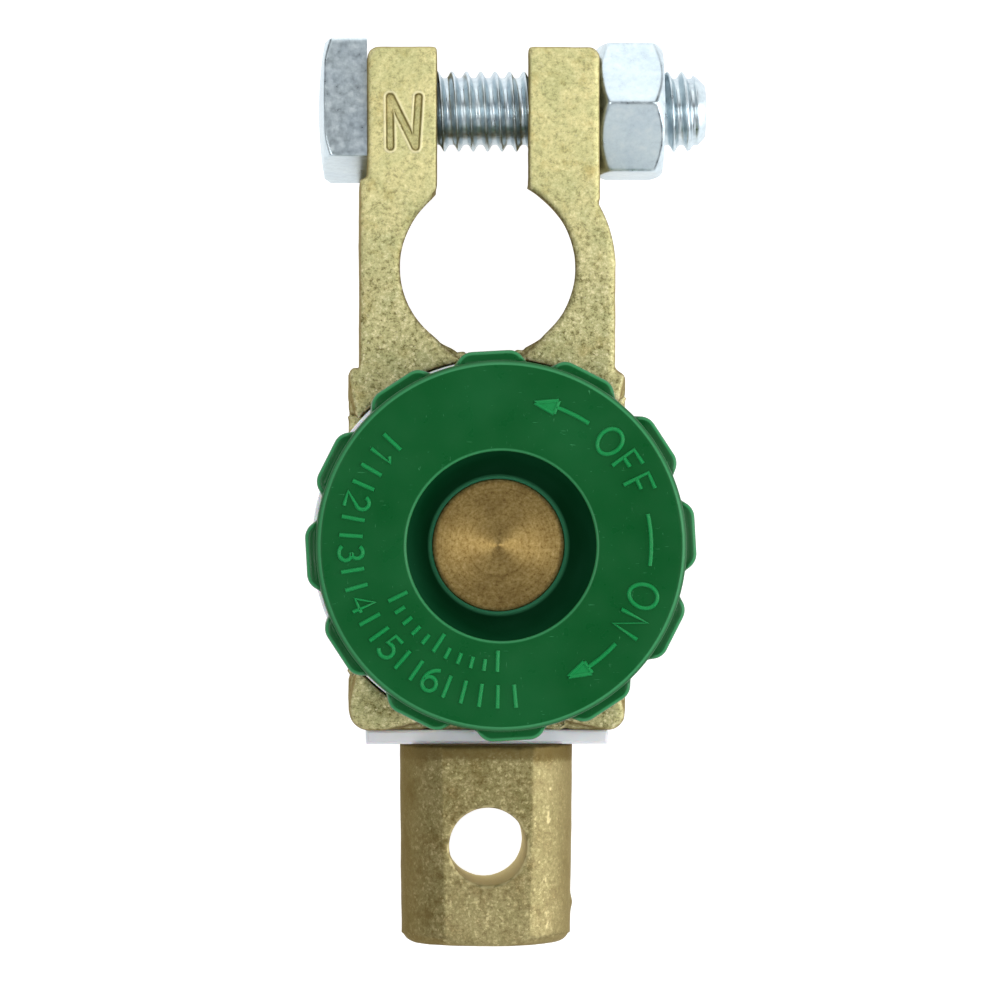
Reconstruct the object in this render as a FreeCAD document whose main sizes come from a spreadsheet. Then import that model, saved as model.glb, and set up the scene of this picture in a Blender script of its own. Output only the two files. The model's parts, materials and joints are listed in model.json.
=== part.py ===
import FreeCAD, Part
import math
import os

import Sketcher

# Battery terminal quick disconnect, in millimetres. The origin is the middle of the
# battery-post bore at the underside. +Z is up along the bore and the knob's axis, +Y is
# towards the clamp's ears, and -Y towards the cable barrel. At rest the knob is
# screwed in, so the switch is on.

SIZES = [
    ("body_height", 15.0, "height of the clamp ring and its ears"),
    ("bore_radius", 8.5, "battery-post bore, at the top of its taper"),
    ("land_length", 9.0, "straight lower part of the bore"),
    ("taper_ratio", 18.0, "height for each unit of radius in the tapered part"),
    ("mouth_chamfer", 0.4, "chamfer at the bore's top edge"),
    ("ring_half_width", 12.4, "outside of the ring"),
    ("ring_back", 13.0, "rear face of the ring's full-height wall"),
    ("ear_left_inner", 4.89, "slot side of the left ear"),
    ("ear_right_inner", 3.92, "slot side of the right ear"),
    ("ear_left_outer", 11.67, "bolt-head seat on the left ear"),
    ("ear_right_outer", 10.9, "nut seat on the right ear"),
    ("ear_top", 21.4, "far end of the ears"),
    ("ear_corner", 1.1, "round on the ears' far corners"),
    ("head_stop", 8.6, "step that keeps the bolt's head from turning"),
    ("slot_mouth", 7.6, "where the slot begins to flare into the bore"),
    ("slot_flare", 1.4, "width of that flare"),
    ("shoulder_y", 9.8, "where the ring widens into the arm"),
    ("shoulder_length", 0.6, "length of that widening"),
    ("arm_half_width", 13.45, "outside of the arm"),
    ("arm_end", 44.9, "far end of the arm"),
    ("arm_corner", 1.9, "round on the arm's far corners"),
    ("cast_round", 0.6, "round on the castings' outer edges"),
    ("knob_x", 0.9, "knob axis across the casting"),
    ("knob_y", 26.9, "knob axis behind the bore"),
    ("spotface_depth", 2.2, "depth of the round pocket under the knob"),
    ("bolt_radius", 3.95, "clamp bolt over its thread"),
    ("bolt_play", 0.3, "gap round the bolt in the ears"),
    ("bolt_y", 15.58, "bolt axis in front of the bore"),
    ("bolt_length", 33.2, "length under the head"),
    ("bolt_end_chamfer", 0.9, "length of the chamfer on the bolt's end"),
    ("bolt_end_step", 0.7, "narrowing of the bolt at that chamfer"),
    ("head_inset", 0.665, "square head's corners inside the ears' top and bottom"),
    ("head_thickness", 4.7, "thickness of the square head"),
    ("head_turn", 10.0, "degrees the head is turned from square"),
    ("head_chamfer", 0.3, "start of the corner chamfer inside the head's flats"),
    ("chamfer_slope", 60.0, "degrees between the bolt's axis and the corner chamfers"),
    ("dome_radius", 30.0, "slight dome on the head"),
    ("nut_inset", 0.17, "hex nut's corners inside the ears' top and bottom"),
    ("nut_thickness", 6.4, "thickness of the nut"),
    ("nut_turn", 6.1, "degrees the nut is turned"),
    ("nut_chamfer", 0.2, "start of the corner chamfer inside the nut's flats"),
    ("nut_mouth", 0.6, "chamfer at the nut's bore"),
    ("block_half_width", 12.4, "lower block under the arm"),
    ("block_height", 6.5, "height of the lower block"),
    ("block_corner", 1.2, "round on the lower block's corners"),
    ("barrel_height", 8.5, "barrel axis above the underside"),
    ("barrel_radius", 8.25, "straight end of the barrel"),
    ("barrel_root_radius", 8.45, "barrel where it meets the block"),
    ("barrel_land_margin", 0.2, "start of the straight end past the cross hole"),
    ("barrel_length", 19.5, "barrel from its root to its end"),
    ("barrel_round", 1.5, "round on the barrel's end"),
    ("flat_half_width", 4.0, "flat along the top of the barrel"),
    ("cross_hole_radius", 3.75, "hole across the barrel for the cable's bolt"),
    ("cross_hole_reach", 9.8, "that hole's axis from the barrel's root"),
    ("plate_thickness", 1.7, "insulator plate between the castings"),
    ("plate_half_width", 11.8, "outside of the insulator plate"),
    ("end_flange", 1.4, "thickness of the plate's turned-up end"),
    ("front_flange", 2.0, "thickness of the plate's turned-down front"),
    ("front_flange_rise", 0.3, "that front's edge above the underside"),
    ("chamber_radius", 8.0, "chamber round the stud below the arm"),
    ("chamber_depth", 2.5, "depth of the chamber in the block"),
    ("seat_radius", 6.0, "contact seat in the chamber's floor"),
    ("seat_thickness", 2.6, "thickness of the contact seat"),
    ("dimple_radius", 3.2, "conical dimple in the seat, at its top"),
    ("dimple_depth", 1.2, "depth of the dimple"),
    ("disc_inset", 0.2, "edge of the white disc inside the lobes' outer sides"),
    ("disc_gap", 0.75, "gap between that disc and the wall of its pocket"),
    ("disc_thickness", 2.5, "thickness of the disc"),
    ("disc_edge", 0.3, "chamfer on the disc's edges"),
    ("disc_play", 0.35, "gap between the disc and the stud"),
    ("washer_radius", 10.4, "thrust washer under the knob's hub"),
    ("washer_thickness", 0.6, "thickness of the thrust washer"),
    ("washer_play", 0.25, "gap between the washer and the stud"),
    ("thread_radius", 5.95, "stud over its thread"),
    ("thread_play", 0.05, "gap between the stud and the arm"),
    ("thread_chamfer", 0.4, "chamfer on the ends of the stud and the screws"),
    ("groove_radius", 4.6, "stud at the bottom of the ring's groove"),
    ("lift", 2.2, "rise of the stud from on to off"),
    ("ring_thickness", 1.0, "retaining ring"),
    ("ring_radius", 7.4, "outside of the retaining ring"),
    ("ring_gap", 5.0, "opening in the retaining ring"),
    ("run_play", 0.05, "running gap of the ring and the nut"),
    ("hex_across", 15.0, "stud's hex flange across its flats"),
    ("hex_thickness", 1.6, "thickness of the hex flange"),
    ("boss_radius", 6.36, "turned end of the stud, seen in the recess"),
    ("boss_height", 0.4, "height of that end above the flange"),
    ("mould_play", 0.02, "gap between the stud and the knob moulded on it"),
    ("seal_section", 1.0, "diameter of the rubber ring's section"),
    ("knob_height", 12.9, "knob from its underside to its face"),
    ("knob_radius", 17.55, "knob between its lobes"),
    ("knob_edge", 0.4, "chamfer round the knob's face"),
    ("knob_web", 2.4, "thickness of the knob's face"),
    ("knob_wall", 1.95, "thickness of the knob's skirt"),
    ("hub_radius", 11.0, "outside of the knob's hub"),
    ("mould_draft", 0.2, "narrowing of the hub towards its open end"),
    ("recess_radius", 9.3, "centre recess at the face"),
    ("recess_floor_radius", 6.95, "centre recess at its floor"),
    ("floor_thickness", 0.6, "thickness of the recess floor"),
    ("rib_count", 6.0, "ribs between the hub and the skirt"),
    ("rib_thickness", 1.2, "thickness of those ribs"),
    ("rib_setback", 1.5, "ribs above the knob's underside"),
    ("rib_sink", 0.5, "overlap of the ribs with the hub and the skirt"),
    ("lobe_count", 12.0, "grip lobes round the knob"),
    ("lobe_height", 0.95, "flat outer side of a lobe outside the knob's wall"),
    ("lobe_base_angle", 11.3, "half the angle of a lobe at its base"),
    ("lobe_taper", 0.49, "narrowing of a lobe on each side towards its outer side"),
    ("lobe_round", 1.5, "round on a lobe's corners"),
    ("lobe_edge", 0.5, "round on a lobe's top edge"),
    ("lobe_setback", 1.5, "top of the lobes below the knob's face"),
    ("lobe_turn", 3.2, "degrees the lobes are turned"),
    ("screw_radius", 1.5, "fixing screw over its thread"),
    ("screw_play", 0.05, "gap round the screw"),
    ("screw_head_radius", 2.75, "screw head"),
    ("screw_head_height", 1.9, "height of the screw head"),
    ("screw_head_round", 0.8, "round on the screw head"),
    ("screw_sink", 0.4, "screw head inside the underside"),
    ("screw_cover", 1.2, "arm left between the screws and the pocket above"),
    ("screw_x", 8.6, "screws on either side of the middle"),
    ("screw_front", 18.7, "front pair of screws behind the bore"),
    ("screw_rear", 41.6, "rear pair of screws behind the bore"),
    ("bush_radius", 2.2, "bush inside the lower block"),
    ("bush_flange_radius", 2.8, "flange of the bush"),
    ("bush_flange_thickness", 0.8, "thickness of that flange"),
    ("bush_play", 0.05, "gap round the bush"),
]

doc = FreeCAD.newDocument("BatteryDisconnect")
sheet = doc.addObject("Spreadsheet::Sheet", "Size")
for row, (alias, number, meaning) in enumerate(SIZES, start=1):
    sheet.set(f"A{row}", meaning)
    sheet.set(f"B{row}", str(number))
    sheet.setAlias(f"B{row}", alias)
doc.recompute()

# How far a cutter passes the face it cuts, and how close two edges count as one
OVER = 1.0
NEAR = 1e-4

# Heights that several pieces share, as expressions of the sheet
ARM_BOTTOM = "(Size.block_height + Size.plate_thickness)"
SPOTFACE = "(Size.body_height - Size.spotface_depth)"
DISC_TOP = f"({SPOTFACE} + Size.disc_thickness)"
KNOB_BOTTOM = f"({DISC_TOP} + Size.washer_thickness)"
KNOB_TOP = f"({KNOB_BOTTOM} + Size.knob_height)"
SEAT_TOP = "(Size.block_height - Size.chamber_depth)"
STUD_TIP = f"({SEAT_TOP} - Size.dimple_depth)"
RING_TOP = f"({ARM_BOTTOM} - Size.lift)"
RING_BOTTOM = f"({RING_TOP} - Size.ring_thickness)"
FLANGE_BOTTOM = f"({KNOB_BOTTOM} + Size.seal_section + 2 * Size.run_play)"
FLANGE_TOP = f"({FLANGE_BOTTOM} + Size.hex_thickness)"
LAND_RADIUS = (
    "(Size.bore_radius + (Size.body_height - Size.mouth_chamfer - Size.land_length)"
    " / Size.taper_ratio)"
)
BARREL_START = "(Size.arm_end + Size.end_flange)"
BLOCK_FRONT = "(Size.ring_back + Size.front_flange)"
HEAD_SEAT = "(Size.screw_sink + Size.screw_head_height)"
FLANGE_SEAT = f"({HEAD_SEAT} + Size.bush_flange_thickness)"
LOBE_REACH = "(Size.knob_radius + Size.lobe_height)"
DISC_RADIUS = f"({LOBE_REACH} - Size.disc_inset)"
SPOTFACE_RADIUS = f"({DISC_RADIUS} + Size.disc_gap)"
BOLT_AXIS = "(Size.body_height / 2)"
HEAD_TURN = "Size.head_turn * 1 deg"
HEAD_ACROSS = (
    f"((Size.body_height - 2 * Size.head_inset) / (cos({HEAD_TURN}) + sin({HEAD_TURN})))"
)
NUT_CORNER = "(Size.body_height / 2 - Size.nut_inset)"
NUT_ACROSS = f"({NUT_CORNER} * sqrt(3))"
SCREW_END = f"({SPOTFACE} - Size.screw_cover)"
BARREL_LAND = (
    f"({BARREL_START} + Size.cross_hole_reach + Size.cross_hole_radius"
    " + Size.barrel_land_margin)"
)
LOBE_EDGE = "min(Size.lobe_edge; Size.lobe_height / 2)"
FLAT_RISE = "sqrt(Size.barrel_radius^2 - Size.flat_half_width^2)"


def value(expression):
    """The present number of an expression of the sheet."""
    return float(sheet.evalExpression(expression))


def sketch_on(body, name, plane, shift=("0", "0", "0")):
    """A sketch on one of the body's own planes, moved by three expressions."""
    origin = next(f for f in body.Origin.OriginFeatures if f.Role == plane)
    sketch = body.newObject("Sketcher::SketchObject", name)
    sketch.AttachmentSupport = [(origin, "")]
    sketch.MapMode = "FlatFace"
    for letter, expression in zip("xyz", shift):
        if expression != "0":
            sketch.setExpression(f"AttachmentOffset.Base.{letter}", expression)
    return sketch


def pin_point(sketch, geometry, point, across, along):
    """Hold one point of a sketch at two expressions."""
    for kind, expression in (("DistanceX", across), ("DistanceY", along)):
        number = value(expression)
        index = sketch.addConstraint(Sketcher.Constraint(kind, -1, 1, geometry, point, number))
        sketch.setExpression(f"Constraints[{index}]", expression)


def arc_between(start, end, radius, turn):
    """The arc from start to end, to the left for turn 1 and to the right for -1."""
    middle = (start + end) * 0.5
    chord = end - start
    height = math.sqrt(max(radius**2 - (chord.Length / 2) ** 2, 0.0))
    side = FreeCAD.Vector(-chord.y, chord.x, 0).normalize() * turn
    centre = middle + side * height
    through = centre - side * radius
    return Part.Arc(start, through, end)


def outline(body, name, plane, corners, shift=("0", "0", "0")):
    """A closed outline. A corner is (x, y), or (x, y, radius, turn) before an arc."""
    sketch = sketch_on(body, name, plane, shift)
    places = [FreeCAD.Vector(value(c[0]), value(c[1]), 0) for c in corners]
    for index, corner in enumerate(corners):
        start, end = places[index], places[(index + 1) % len(places)]
        if len(corner) == 4:
            geometry = arc_between(start, end, value(corner[2]), corner[3])
        else:
            geometry = Part.LineSegment(start, end)
        sketch.addGeometry(geometry, False)
    # an arc is kept anticlockwise, so one that turns right has its ends swapped
    first = [2 if len(c) == 4 and c[3] < 0 else 1 for c in corners]
    for index, corner in enumerate(corners):
        before = (index - 1) % len(corners)
        sketch.addConstraint(
            Sketcher.Constraint("Coincident", before, 3 - first[before], index, first[index])
        )
        pin_point(sketch, index, first[index], corner[0], corner[1])
        if len(corner) == 4:
            held = sketch.addConstraint(Sketcher.Constraint("Radius", index, value(corner[2])))
            sketch.setExpression(f"Constraints[{held}]", corner[2])
    return sketch


def circles(body, name, plane, rounds, shift=("0", "0", "0")):
    """A sketch of circles, each (x, y, radius)."""
    sketch = sketch_on(body, name, plane, shift)
    for index, (across, along, radius) in enumerate(rounds):
        centre = FreeCAD.Vector(value(across), value(along), 0)
        upward = FreeCAD.Vector(0, 0, 1)
        sketch.addGeometry(Part.Circle(centre, upward, value(radius)), False)
        pin_point(sketch, index, 3, across, along)
        held = sketch.addConstraint(Sketcher.Constraint("Radius", index, value(radius)))
        sketch.setExpression(f"Constraints[{held}]", radius)
    return sketch


def hexagon(across, turn=0):
    """The six corners of a hexagon, from its size across the flats."""
    return [
        (f"{across} / sqrt(3) * cos({60 * k + turn})", f"{across} / sqrt(3) * sin({60 * k + turn})")
        for k in range(6)
    ]


def feature(body, kind, name, sketch, **settings):
    """A feature made from a sketch; settings with a text value are expressions."""
    made = body.newObject(f"PartDesign::{kind}", name)
    made.Profile = sketch
    for key, setting in settings.items():
        if isinstance(setting, str) and key in ("Length", "Angle"):
            made.setExpression(key, setting)
        else:
            setattr(made, key, setting)
    sketch.Visibility = False
    doc.recompute()
    return made


def pad(body, name, sketch, length, **settings):
    return feature(body, "Pad", name, sketch, Length=length, **settings)


def pocket(body, name, sketch, length, **settings):
    """A cut that must take material away."""
    before = body.Shape.Volume
    made = feature(body, "Pocket", name, sketch, Length=length, **settings)
    if body.Shape.Volume > before - NEAR:
        raise RuntimeError(f"{name} cuts nothing")
    return made


def turn_about(body, kind, name, sketch, axis):
    return feature(body, kind, name, sketch, ReferenceAxis=(sketch, [axis]), Angle=360)


def around(body, name, features, count):
    """Copies of some features, evenly spaced about the body's Z axis."""
    pattern = body.newObject("PartDesign::PolarPattern", name)
    pattern.Originals = features
    axis = next(f for f in body.Origin.OriginFeatures if f.Role == "Z_Axis")
    pattern.Axis = (axis, [""])
    pattern.Angle = 360
    pattern.setExpression("Occurrences", count)
    body.Tip = pattern
    doc.recompute()
    return pattern


def soften(body, kind, name, size, wanted):
    """A fillet or chamfer on the edges of the body that a test picks."""
    base = body.Tip
    picked = [f"Edge{n}" for n, edge in enumerate(base.Shape.Edges, start=1) if wanted(edge)]
    if not picked:
        raise RuntimeError(f"{name} finds no edge")
    made = body.newObject(f"PartDesign::{kind}", name)
    made.Base = (base, picked)
    made.setExpression("Radius" if kind == "Fillet" else "Size", size)
    doc.recompute()
    return made


def upright(edge, at_least):
    """Whether an edge runs along Z and is at least so long."""
    box = edge.BoundBox
    return box.ZLength > at_least and max(box.XLength, box.YLength) < NEAR


def level(edge, height):
    """Whether an edge lies flat at a height."""
    box = edge.BoundBox
    return box.ZLength < NEAR and abs(box.ZMin - height) < NEAR


def put(piece, across="0", along="0", height="0"):
    """Place a finished piece at three expressions."""
    for letter, expression in zip("xyz", (across, along, height)):
        if expression != "0":
            piece.setExpression(f"Placement.Base.{letter}", expression)


def turned(name, profile, across="0", along="0", height="0"):
    """A piece turned about Z from a profile of (radius, height) corners."""
    body = doc.addObject("PartDesign::Body", name)
    sketch = outline(body, f"{name}_profile", "XZ_Plane", profile)
    turn_about(body, "Revolution", f"{name}_turned", sketch, "V_Axis")
    put(body, across, along, height)
    return body


def primitive(kind, name, **sizes):
    """A Part primitive whose sizes are expressions, or numbers where they are fixed."""
    solid = doc.addObject(f"Part::{kind}", name)
    for key, size in sizes.items():
        if isinstance(size, str):
            solid.setExpression(key, size)
        else:
            setattr(solid, key, size)
    return solid


def combine(kind, name, shapes):
    """One boolean of several objects."""
    made = doc.addObject(f"Part::{kind}", name)
    if kind == "Cut":
        made.Base, made.Tool = shapes
    else:
        made.Shapes = shapes
    return made


def clamp_body():
    """The brass casting: split ring, two ears, and the arm that carries the knob."""
    body = doc.addObject("PartDesign::Body", "clamp_body")
    inside = "(Size.bore_radius - Size.run_play)"
    right = "(Size.ear_right_inner + Size.slot_flare)"
    left = "(Size.ear_left_inner + Size.slot_flare)"
    wide = "(Size.shoulder_y + Size.shoulder_length)"
    ring = outline(body, "ring_outline", "XY_Plane", [
        ("-Size.arm_half_width", "-Size.ring_back"),
        ("Size.arm_half_width", "-Size.ring_back"),
        ("Size.arm_half_width", f"-{wide}"),
        ("Size.ring_half_width", "-Size.shoulder_y"),
        ("Size.ring_half_width", "0", "Size.ring_half_width", 1),
        ("Size.ear_right_outer", "sqrt(Size.ring_half_width^2 - Size.ear_right_outer^2)"),
        ("Size.ear_right_outer", "Size.ear_top"),
        ("Size.ear_right_inner", "Size.ear_top"),
        ("Size.ear_right_inner", "Size.slot_mouth"),
        (right, f"sqrt({inside}^2 - {right}^2)"),
        (f"-{left}", f"sqrt({inside}^2 - {left}^2)"),
        ("-Size.ear_left_inner", "Size.slot_mouth"),
        ("-Size.ear_left_inner", "Size.ear_top"),
        ("-Size.ear_left_outer", "Size.ear_top"),
        ("-Size.ear_left_outer", "Size.head_stop"),
        ("-Size.ring_half_width", "Size.head_stop"),
        ("-Size.ring_half_width", "-Size.shoulder_y"),
        ("-Size.arm_half_width", f"-{wide}"),
    ])
    pad(body, "ring", ring, "Size.body_height")
    arm = outline(body, "arm_outline", "XY_Plane", [
        ("-Size.arm_half_width", "-Size.arm_end"),
        ("Size.arm_half_width", "-Size.arm_end"),
        ("Size.arm_half_width", f"-{wide}"),
        ("-Size.arm_half_width", f"-{wide}"),
    ], ("0", "0", ARM_BOTTOM))
    pad(body, "arm", arm, f"Size.body_height - {ARM_BOTTOM}")
    ear_end, arm_end = value("Size.ear_top"), -value("Size.arm_end")
    outer = (value("Size.ear_right_outer"), -value("Size.ear_left_outer"))
    soften(body, "Fillet", "ear_corners", "Size.ear_corner", lambda edge: (
        upright(edge, OVER) and abs(edge.BoundBox.YMin - ear_end) < NEAR
        and min(abs(edge.BoundBox.XMin - side) for side in outer) < NEAR
    ))
    soften(body, "Fillet", "arm_corners", "Size.arm_corner", lambda edge: (
        upright(edge, OVER) and abs(edge.BoundBox.YMin - arm_end) < NEAR
    ))
    top = value("Size.body_height")
    slot_half = max(value(right), value(left))
    soften(body, "Fillet", "top_edges", "Size.cast_round", lambda edge: (
        level(edge, top)
        and not (edge.CenterOfMass.y > 0 and abs(edge.CenterOfMass.x) < slot_half)
    ))
    bore = outline(body, "bore_profile", "XZ_Plane", [
        ("0", f"-{OVER}"),
        (LAND_RADIUS, f"-{OVER}"),
        (LAND_RADIUS, "Size.land_length"),
        ("Size.bore_radius", "Size.body_height - Size.mouth_chamfer"),
        (f"Size.bore_radius + Size.mouth_chamfer + {OVER}", f"Size.body_height + {OVER}"),
        ("0", f"Size.body_height + {OVER}"),
    ])
    turn_about(body, "Groove", "bore", bore, "V_Axis")
    spotface = circles(body, "spotface_circle", "XY_Plane",
                       [("Size.knob_x", "-Size.knob_y", SPOTFACE_RADIUS)],
                       ("0", "0", f"Size.body_height + {OVER}"))
    pocket(body, "spotface", spotface, f"Size.spotface_depth + {OVER}")
    through = circles(body, "bolt_hole_circle", "YZ_Plane",
                      [("Size.bolt_y", BOLT_AXIS, "Size.bolt_radius + Size.bolt_play")])
    pocket(body, "bolt_hole", through, "4 * Size.ring_half_width", SideType="Symmetric")
    stud = circles(body, "stud_hole_circle", "XY_Plane",
                   [("Size.knob_x", "-Size.knob_y", "Size.thread_radius + Size.thread_play")],
                   ("0", "0", "Size.body_height"))
    pocket(body, "stud_hole", stud, "Size.body_height")
    taps = circles(body, "tapped_hole_circles", "XY_Plane", [
        (x, y, "Size.screw_radius + Size.screw_play") for x, y in screw_places()
    ], ("0", "0", ARM_BOTTOM))
    pocket(body, "tapped_holes", taps, f"{SCREW_END} + Size.run_play - {ARM_BOTTOM}",
           Reversed=True)
    return body


def screw_places():
    """Where the four fixing screws stand."""
    return [
        (f"{side}Size.screw_x", f"-Size.{pair}")
        for pair in ("screw_front", "screw_rear")
        for side in ("-", "")
    ]


def widened(radius, height):
    """The wide end of a corner chamfer's cone, from its narrow end and its height."""
    return f"{radius} + {height} * tan(Size.chamfer_slope * 1 deg)"


def clamp_bolt():
    """The square-head bolt across the ears, made along Z and laid along X."""
    head = primitive("Prism", "bolt_head", Polygon=4, Circumradius=f"{HEAD_ACROSS} / sqrt(2)",
                     Height="Size.head_thickness")
    head.Placement.Rotation = FreeCAD.Rotation(FreeCAD.Vector(0, 0, 1), 1)
    head.setExpression("Placement.Rotation.Angle", "45 - Size.head_turn")
    face_radius = f"({HEAD_ACROSS} / 2 - Size.head_chamfer)"
    corner_cut = primitive("Cone", "bolt_head_chamfer", Radius1=face_radius,
                           Radius2=widened(face_radius, "Size.head_thickness"),
                           Height="Size.head_thickness")
    dome = primitive("Sphere", "bolt_head_dome", Radius="Size.dome_radius")
    put(dome, height="Size.dome_radius")
    shaped = combine("MultiCommon", "bolt_head_shaped", [head, corner_cut, dome])
    shank = primitive("Cylinder", "bolt_shank", Radius="Size.bolt_radius",
                      Height=f"Size.bolt_length - Size.bolt_end_chamfer + {OVER}")
    put(shank, height=f"Size.head_thickness - {OVER}")
    end = primitive("Cone", "bolt_end", Radius1="Size.bolt_radius",
                    Radius2="Size.bolt_radius - Size.bolt_end_step",
                    Height="Size.bolt_end_chamfer")
    put(end, height="Size.head_thickness + Size.bolt_length - Size.bolt_end_chamfer")
    bolt = combine("MultiFuse", "clamp_bolt", [shaped, shank, end])
    bolt.Placement.Rotation = FreeCAD.Rotation(FreeCAD.Vector(0, 1, 0), 90)
    put(bolt, "-Size.ear_left_outer - Size.head_thickness", "Size.bolt_y", BOLT_AXIS)
    return bolt


def clamp_nut():
    """The hex nut, chamfered on both faces, made along Z and laid along X."""
    blank = primitive("Prism", "nut_blank", Polygon=6, Circumradius=NUT_CORNER,
                      Height="Size.nut_thickness")
    blank.Placement.Rotation = FreeCAD.Rotation(FreeCAD.Vector(0, 0, 1), 1)
    blank.setExpression("Placement.Rotation.Angle", "60 - Size.nut_turn")
    face_radius = f"({NUT_ACROSS} / 2 - Size.nut_chamfer)"
    wide_radius = widened(face_radius, "Size.nut_thickness")
    near = primitive("Cone", "nut_near_chamfer", Radius1=face_radius, Radius2=wide_radius,
                     Height="Size.nut_thickness")
    far = primitive("Cone", "nut_far_chamfer", Radius1=wide_radius, Radius2=face_radius,
                    Height="Size.nut_thickness")
    shaped = combine("MultiCommon", "nut_shaped", [blank, near, far])
    bore_radius = "(Size.bolt_radius + Size.run_play)"
    bore = primitive("Cylinder", "nut_bore", Radius=bore_radius,
                     Height=f"Size.nut_thickness + 2 * {OVER}")
    put(bore, height=f"-{OVER}")
    mouths = [bore]
    wide_mouth, narrow_mouth = f"{bore_radius} + Size.nut_mouth", f"{bore_radius} - Size.run_play"
    mouth_depth = "(Size.nut_mouth + Size.run_play)"
    for name, start, end, height in (
        ("nut_near_mouth", wide_mouth, narrow_mouth, "0"),
        ("nut_far_mouth", narrow_mouth, wide_mouth, f"Size.nut_thickness - {mouth_depth}"),
    ):
        mouth = primitive("Cone", name, Radius1=start, Radius2=end, Height=mouth_depth)
        put(mouth, height=height)
        mouths.append(mouth)
    hollow = combine("MultiFuse", "nut_hollow", mouths)
    nut = combine("Cut", "clamp_nut", [shaped, hollow])
    nut.Placement.Rotation = FreeCAD.Rotation(FreeCAD.Vector(0, 1, 0), 90)
    put(nut, "Size.ear_right_outer", "Size.bolt_y", BOLT_AXIS)
    return nut


def cable_post():
    """The lower casting: a block under the arm, and the barrel for the cable."""
    body = doc.addObject("PartDesign::Body", "cable_post")
    plan = outline(body, "block_outline", "XY_Plane", [
        ("-Size.block_half_width", f"-{BARREL_START}"),
        ("Size.block_half_width", f"-{BARREL_START}"),
        ("Size.block_half_width", f"-{BLOCK_FRONT}"),
        ("-Size.block_half_width", f"-{BLOCK_FRONT}"),
    ])
    pad(body, "block", plan, "Size.block_height")
    soften(body, "Fillet", "block_corners", "Size.block_corner", lambda edge: upright(edge, OVER))
    end = f"({BARREL_START} + Size.barrel_length)"
    barrel = outline(body, "barrel_profile", "YZ_Plane", [
        (f"-{BARREL_START}", "0"),
        (f"-{end}", "0"),
        (f"-{end}", "Size.barrel_radius - Size.barrel_round", "Size.barrel_round", -1),
        (f"-{end} + Size.barrel_round", "Size.barrel_radius"),
        (f"-{BARREL_LAND}", "Size.barrel_radius"),
        (f"-{BARREL_START}", "Size.barrel_root_radius"),
    ], ("0", "Size.barrel_height", "0"))
    turn_about(body, "Revolution", "barrel", barrel, "H_Axis")
    top = f"(Size.barrel_height + Size.barrel_root_radius + {OVER})"
    flat = outline(body, "flat_outline", "XY_Plane", [
        ("-Size.barrel_root_radius", f"-{end} - {OVER}"),
        ("Size.barrel_root_radius", f"-{end} - {OVER}"),
        ("Size.barrel_root_radius", f"-{BARREL_START}"),
        ("-Size.barrel_root_radius", f"-{BARREL_START}"),
    ], ("0", "0", top))
    pocket(body, "flat", flat, f"{top} - Size.barrel_height - {FLAT_RISE}")
    hole = circles(body, "cross_hole_circle", "XY_Plane", [
        ("0", f"-{BARREL_START} - Size.cross_hole_reach", "Size.cross_hole_radius"),
    ], ("0", "0", top))
    pocket(body, "cross_hole", hole, f"{top} + {OVER}")
    chamber = circles(body, "chamber_circle", "XY_Plane",
                      [("Size.knob_x", "-Size.knob_y", "Size.chamber_radius")],
                      ("0", "0", "Size.block_height"))
    pocket(body, "chamber", chamber, "Size.chamber_depth")
    seat = circles(body, "seat_hole_circle", "XY_Plane",
                   [("Size.knob_x", "-Size.knob_y", "Size.seat_radius + Size.mould_play")],
                   ("0", "0", SEAT_TOP))
    pocket(body, "seat_hole", seat, "Size.seat_thickness")
    bushes = circles(body, "bush_hole_circles", "XY_Plane", [
        (x, y, "Size.bush_radius + Size.bush_play") for x, y in screw_places()
    ], ("0", "0", "Size.block_height"))
    pocket(body, "bush_holes", bushes, "Size.block_height")
    sinks = circles(body, "counterbore_circles", "XY_Plane", [
        (x, y, "Size.bush_flange_radius + Size.bush_play") for x, y in screw_places()
    ])
    pocket(body, "counterbores", sinks, FLANGE_SEAT, Reversed=True)
    return body


def insulator_plate():
    """The white plate between the castings, turned down in front and up behind."""
    body = doc.addObject("PartDesign::Body", "insulator_plate")
    side = outline(body, "plate_profile", "YZ_Plane", [
        ("-Size.ring_back", "Size.front_flange_rise"),
        ("-Size.ring_back", ARM_BOTTOM),
        ("-Size.arm_end", ARM_BOTTOM),
        ("-Size.arm_end", SPOTFACE),
        (f"-{BARREL_START}", SPOTFACE),
        (f"-{BARREL_START}", "Size.block_height"),
        (f"-{BLOCK_FRONT}", "Size.block_height"),
        (f"-{BLOCK_FRONT}", "Size.front_flange_rise"),
    ])
    pad(body, "plate", side, "2 * Size.plate_half_width", SideType="Symmetric")
    crest = value(SPOTFACE)
    soften(body, "Fillet", "flange_edges", "Size.end_flange / 4",
           lambda edge: level(edge, crest))
    holes = [("Size.knob_x", "-Size.knob_y", "Size.chamber_radius")]
    holes += [(x, y, "Size.bush_radius + Size.bush_play") for x, y in screw_places()]
    drilled = circles(body, "plate_hole_circles", "XY_Plane", holes, ("0", "0", ARM_BOTTOM))
    pocket(body, "plate_holes", drilled, "Size.plate_thickness")
    return body


def insulator_disc():
    """The white disc that lies in the spotface and keeps the knob off the casting."""
    hole = "Size.thread_radius + Size.disc_play"
    return turned("insulator_disc", [
        (hole, SPOTFACE),
        (f"{DISC_RADIUS} - Size.disc_edge", SPOTFACE),
        (DISC_RADIUS, f"{SPOTFACE} + Size.disc_edge"),
        (DISC_RADIUS, f"{DISC_TOP} - Size.disc_edge"),
        (f"{DISC_RADIUS} - Size.disc_edge", DISC_TOP),
        (hole, DISC_TOP),
    ], "Size.knob_x", "-Size.knob_y")


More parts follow.
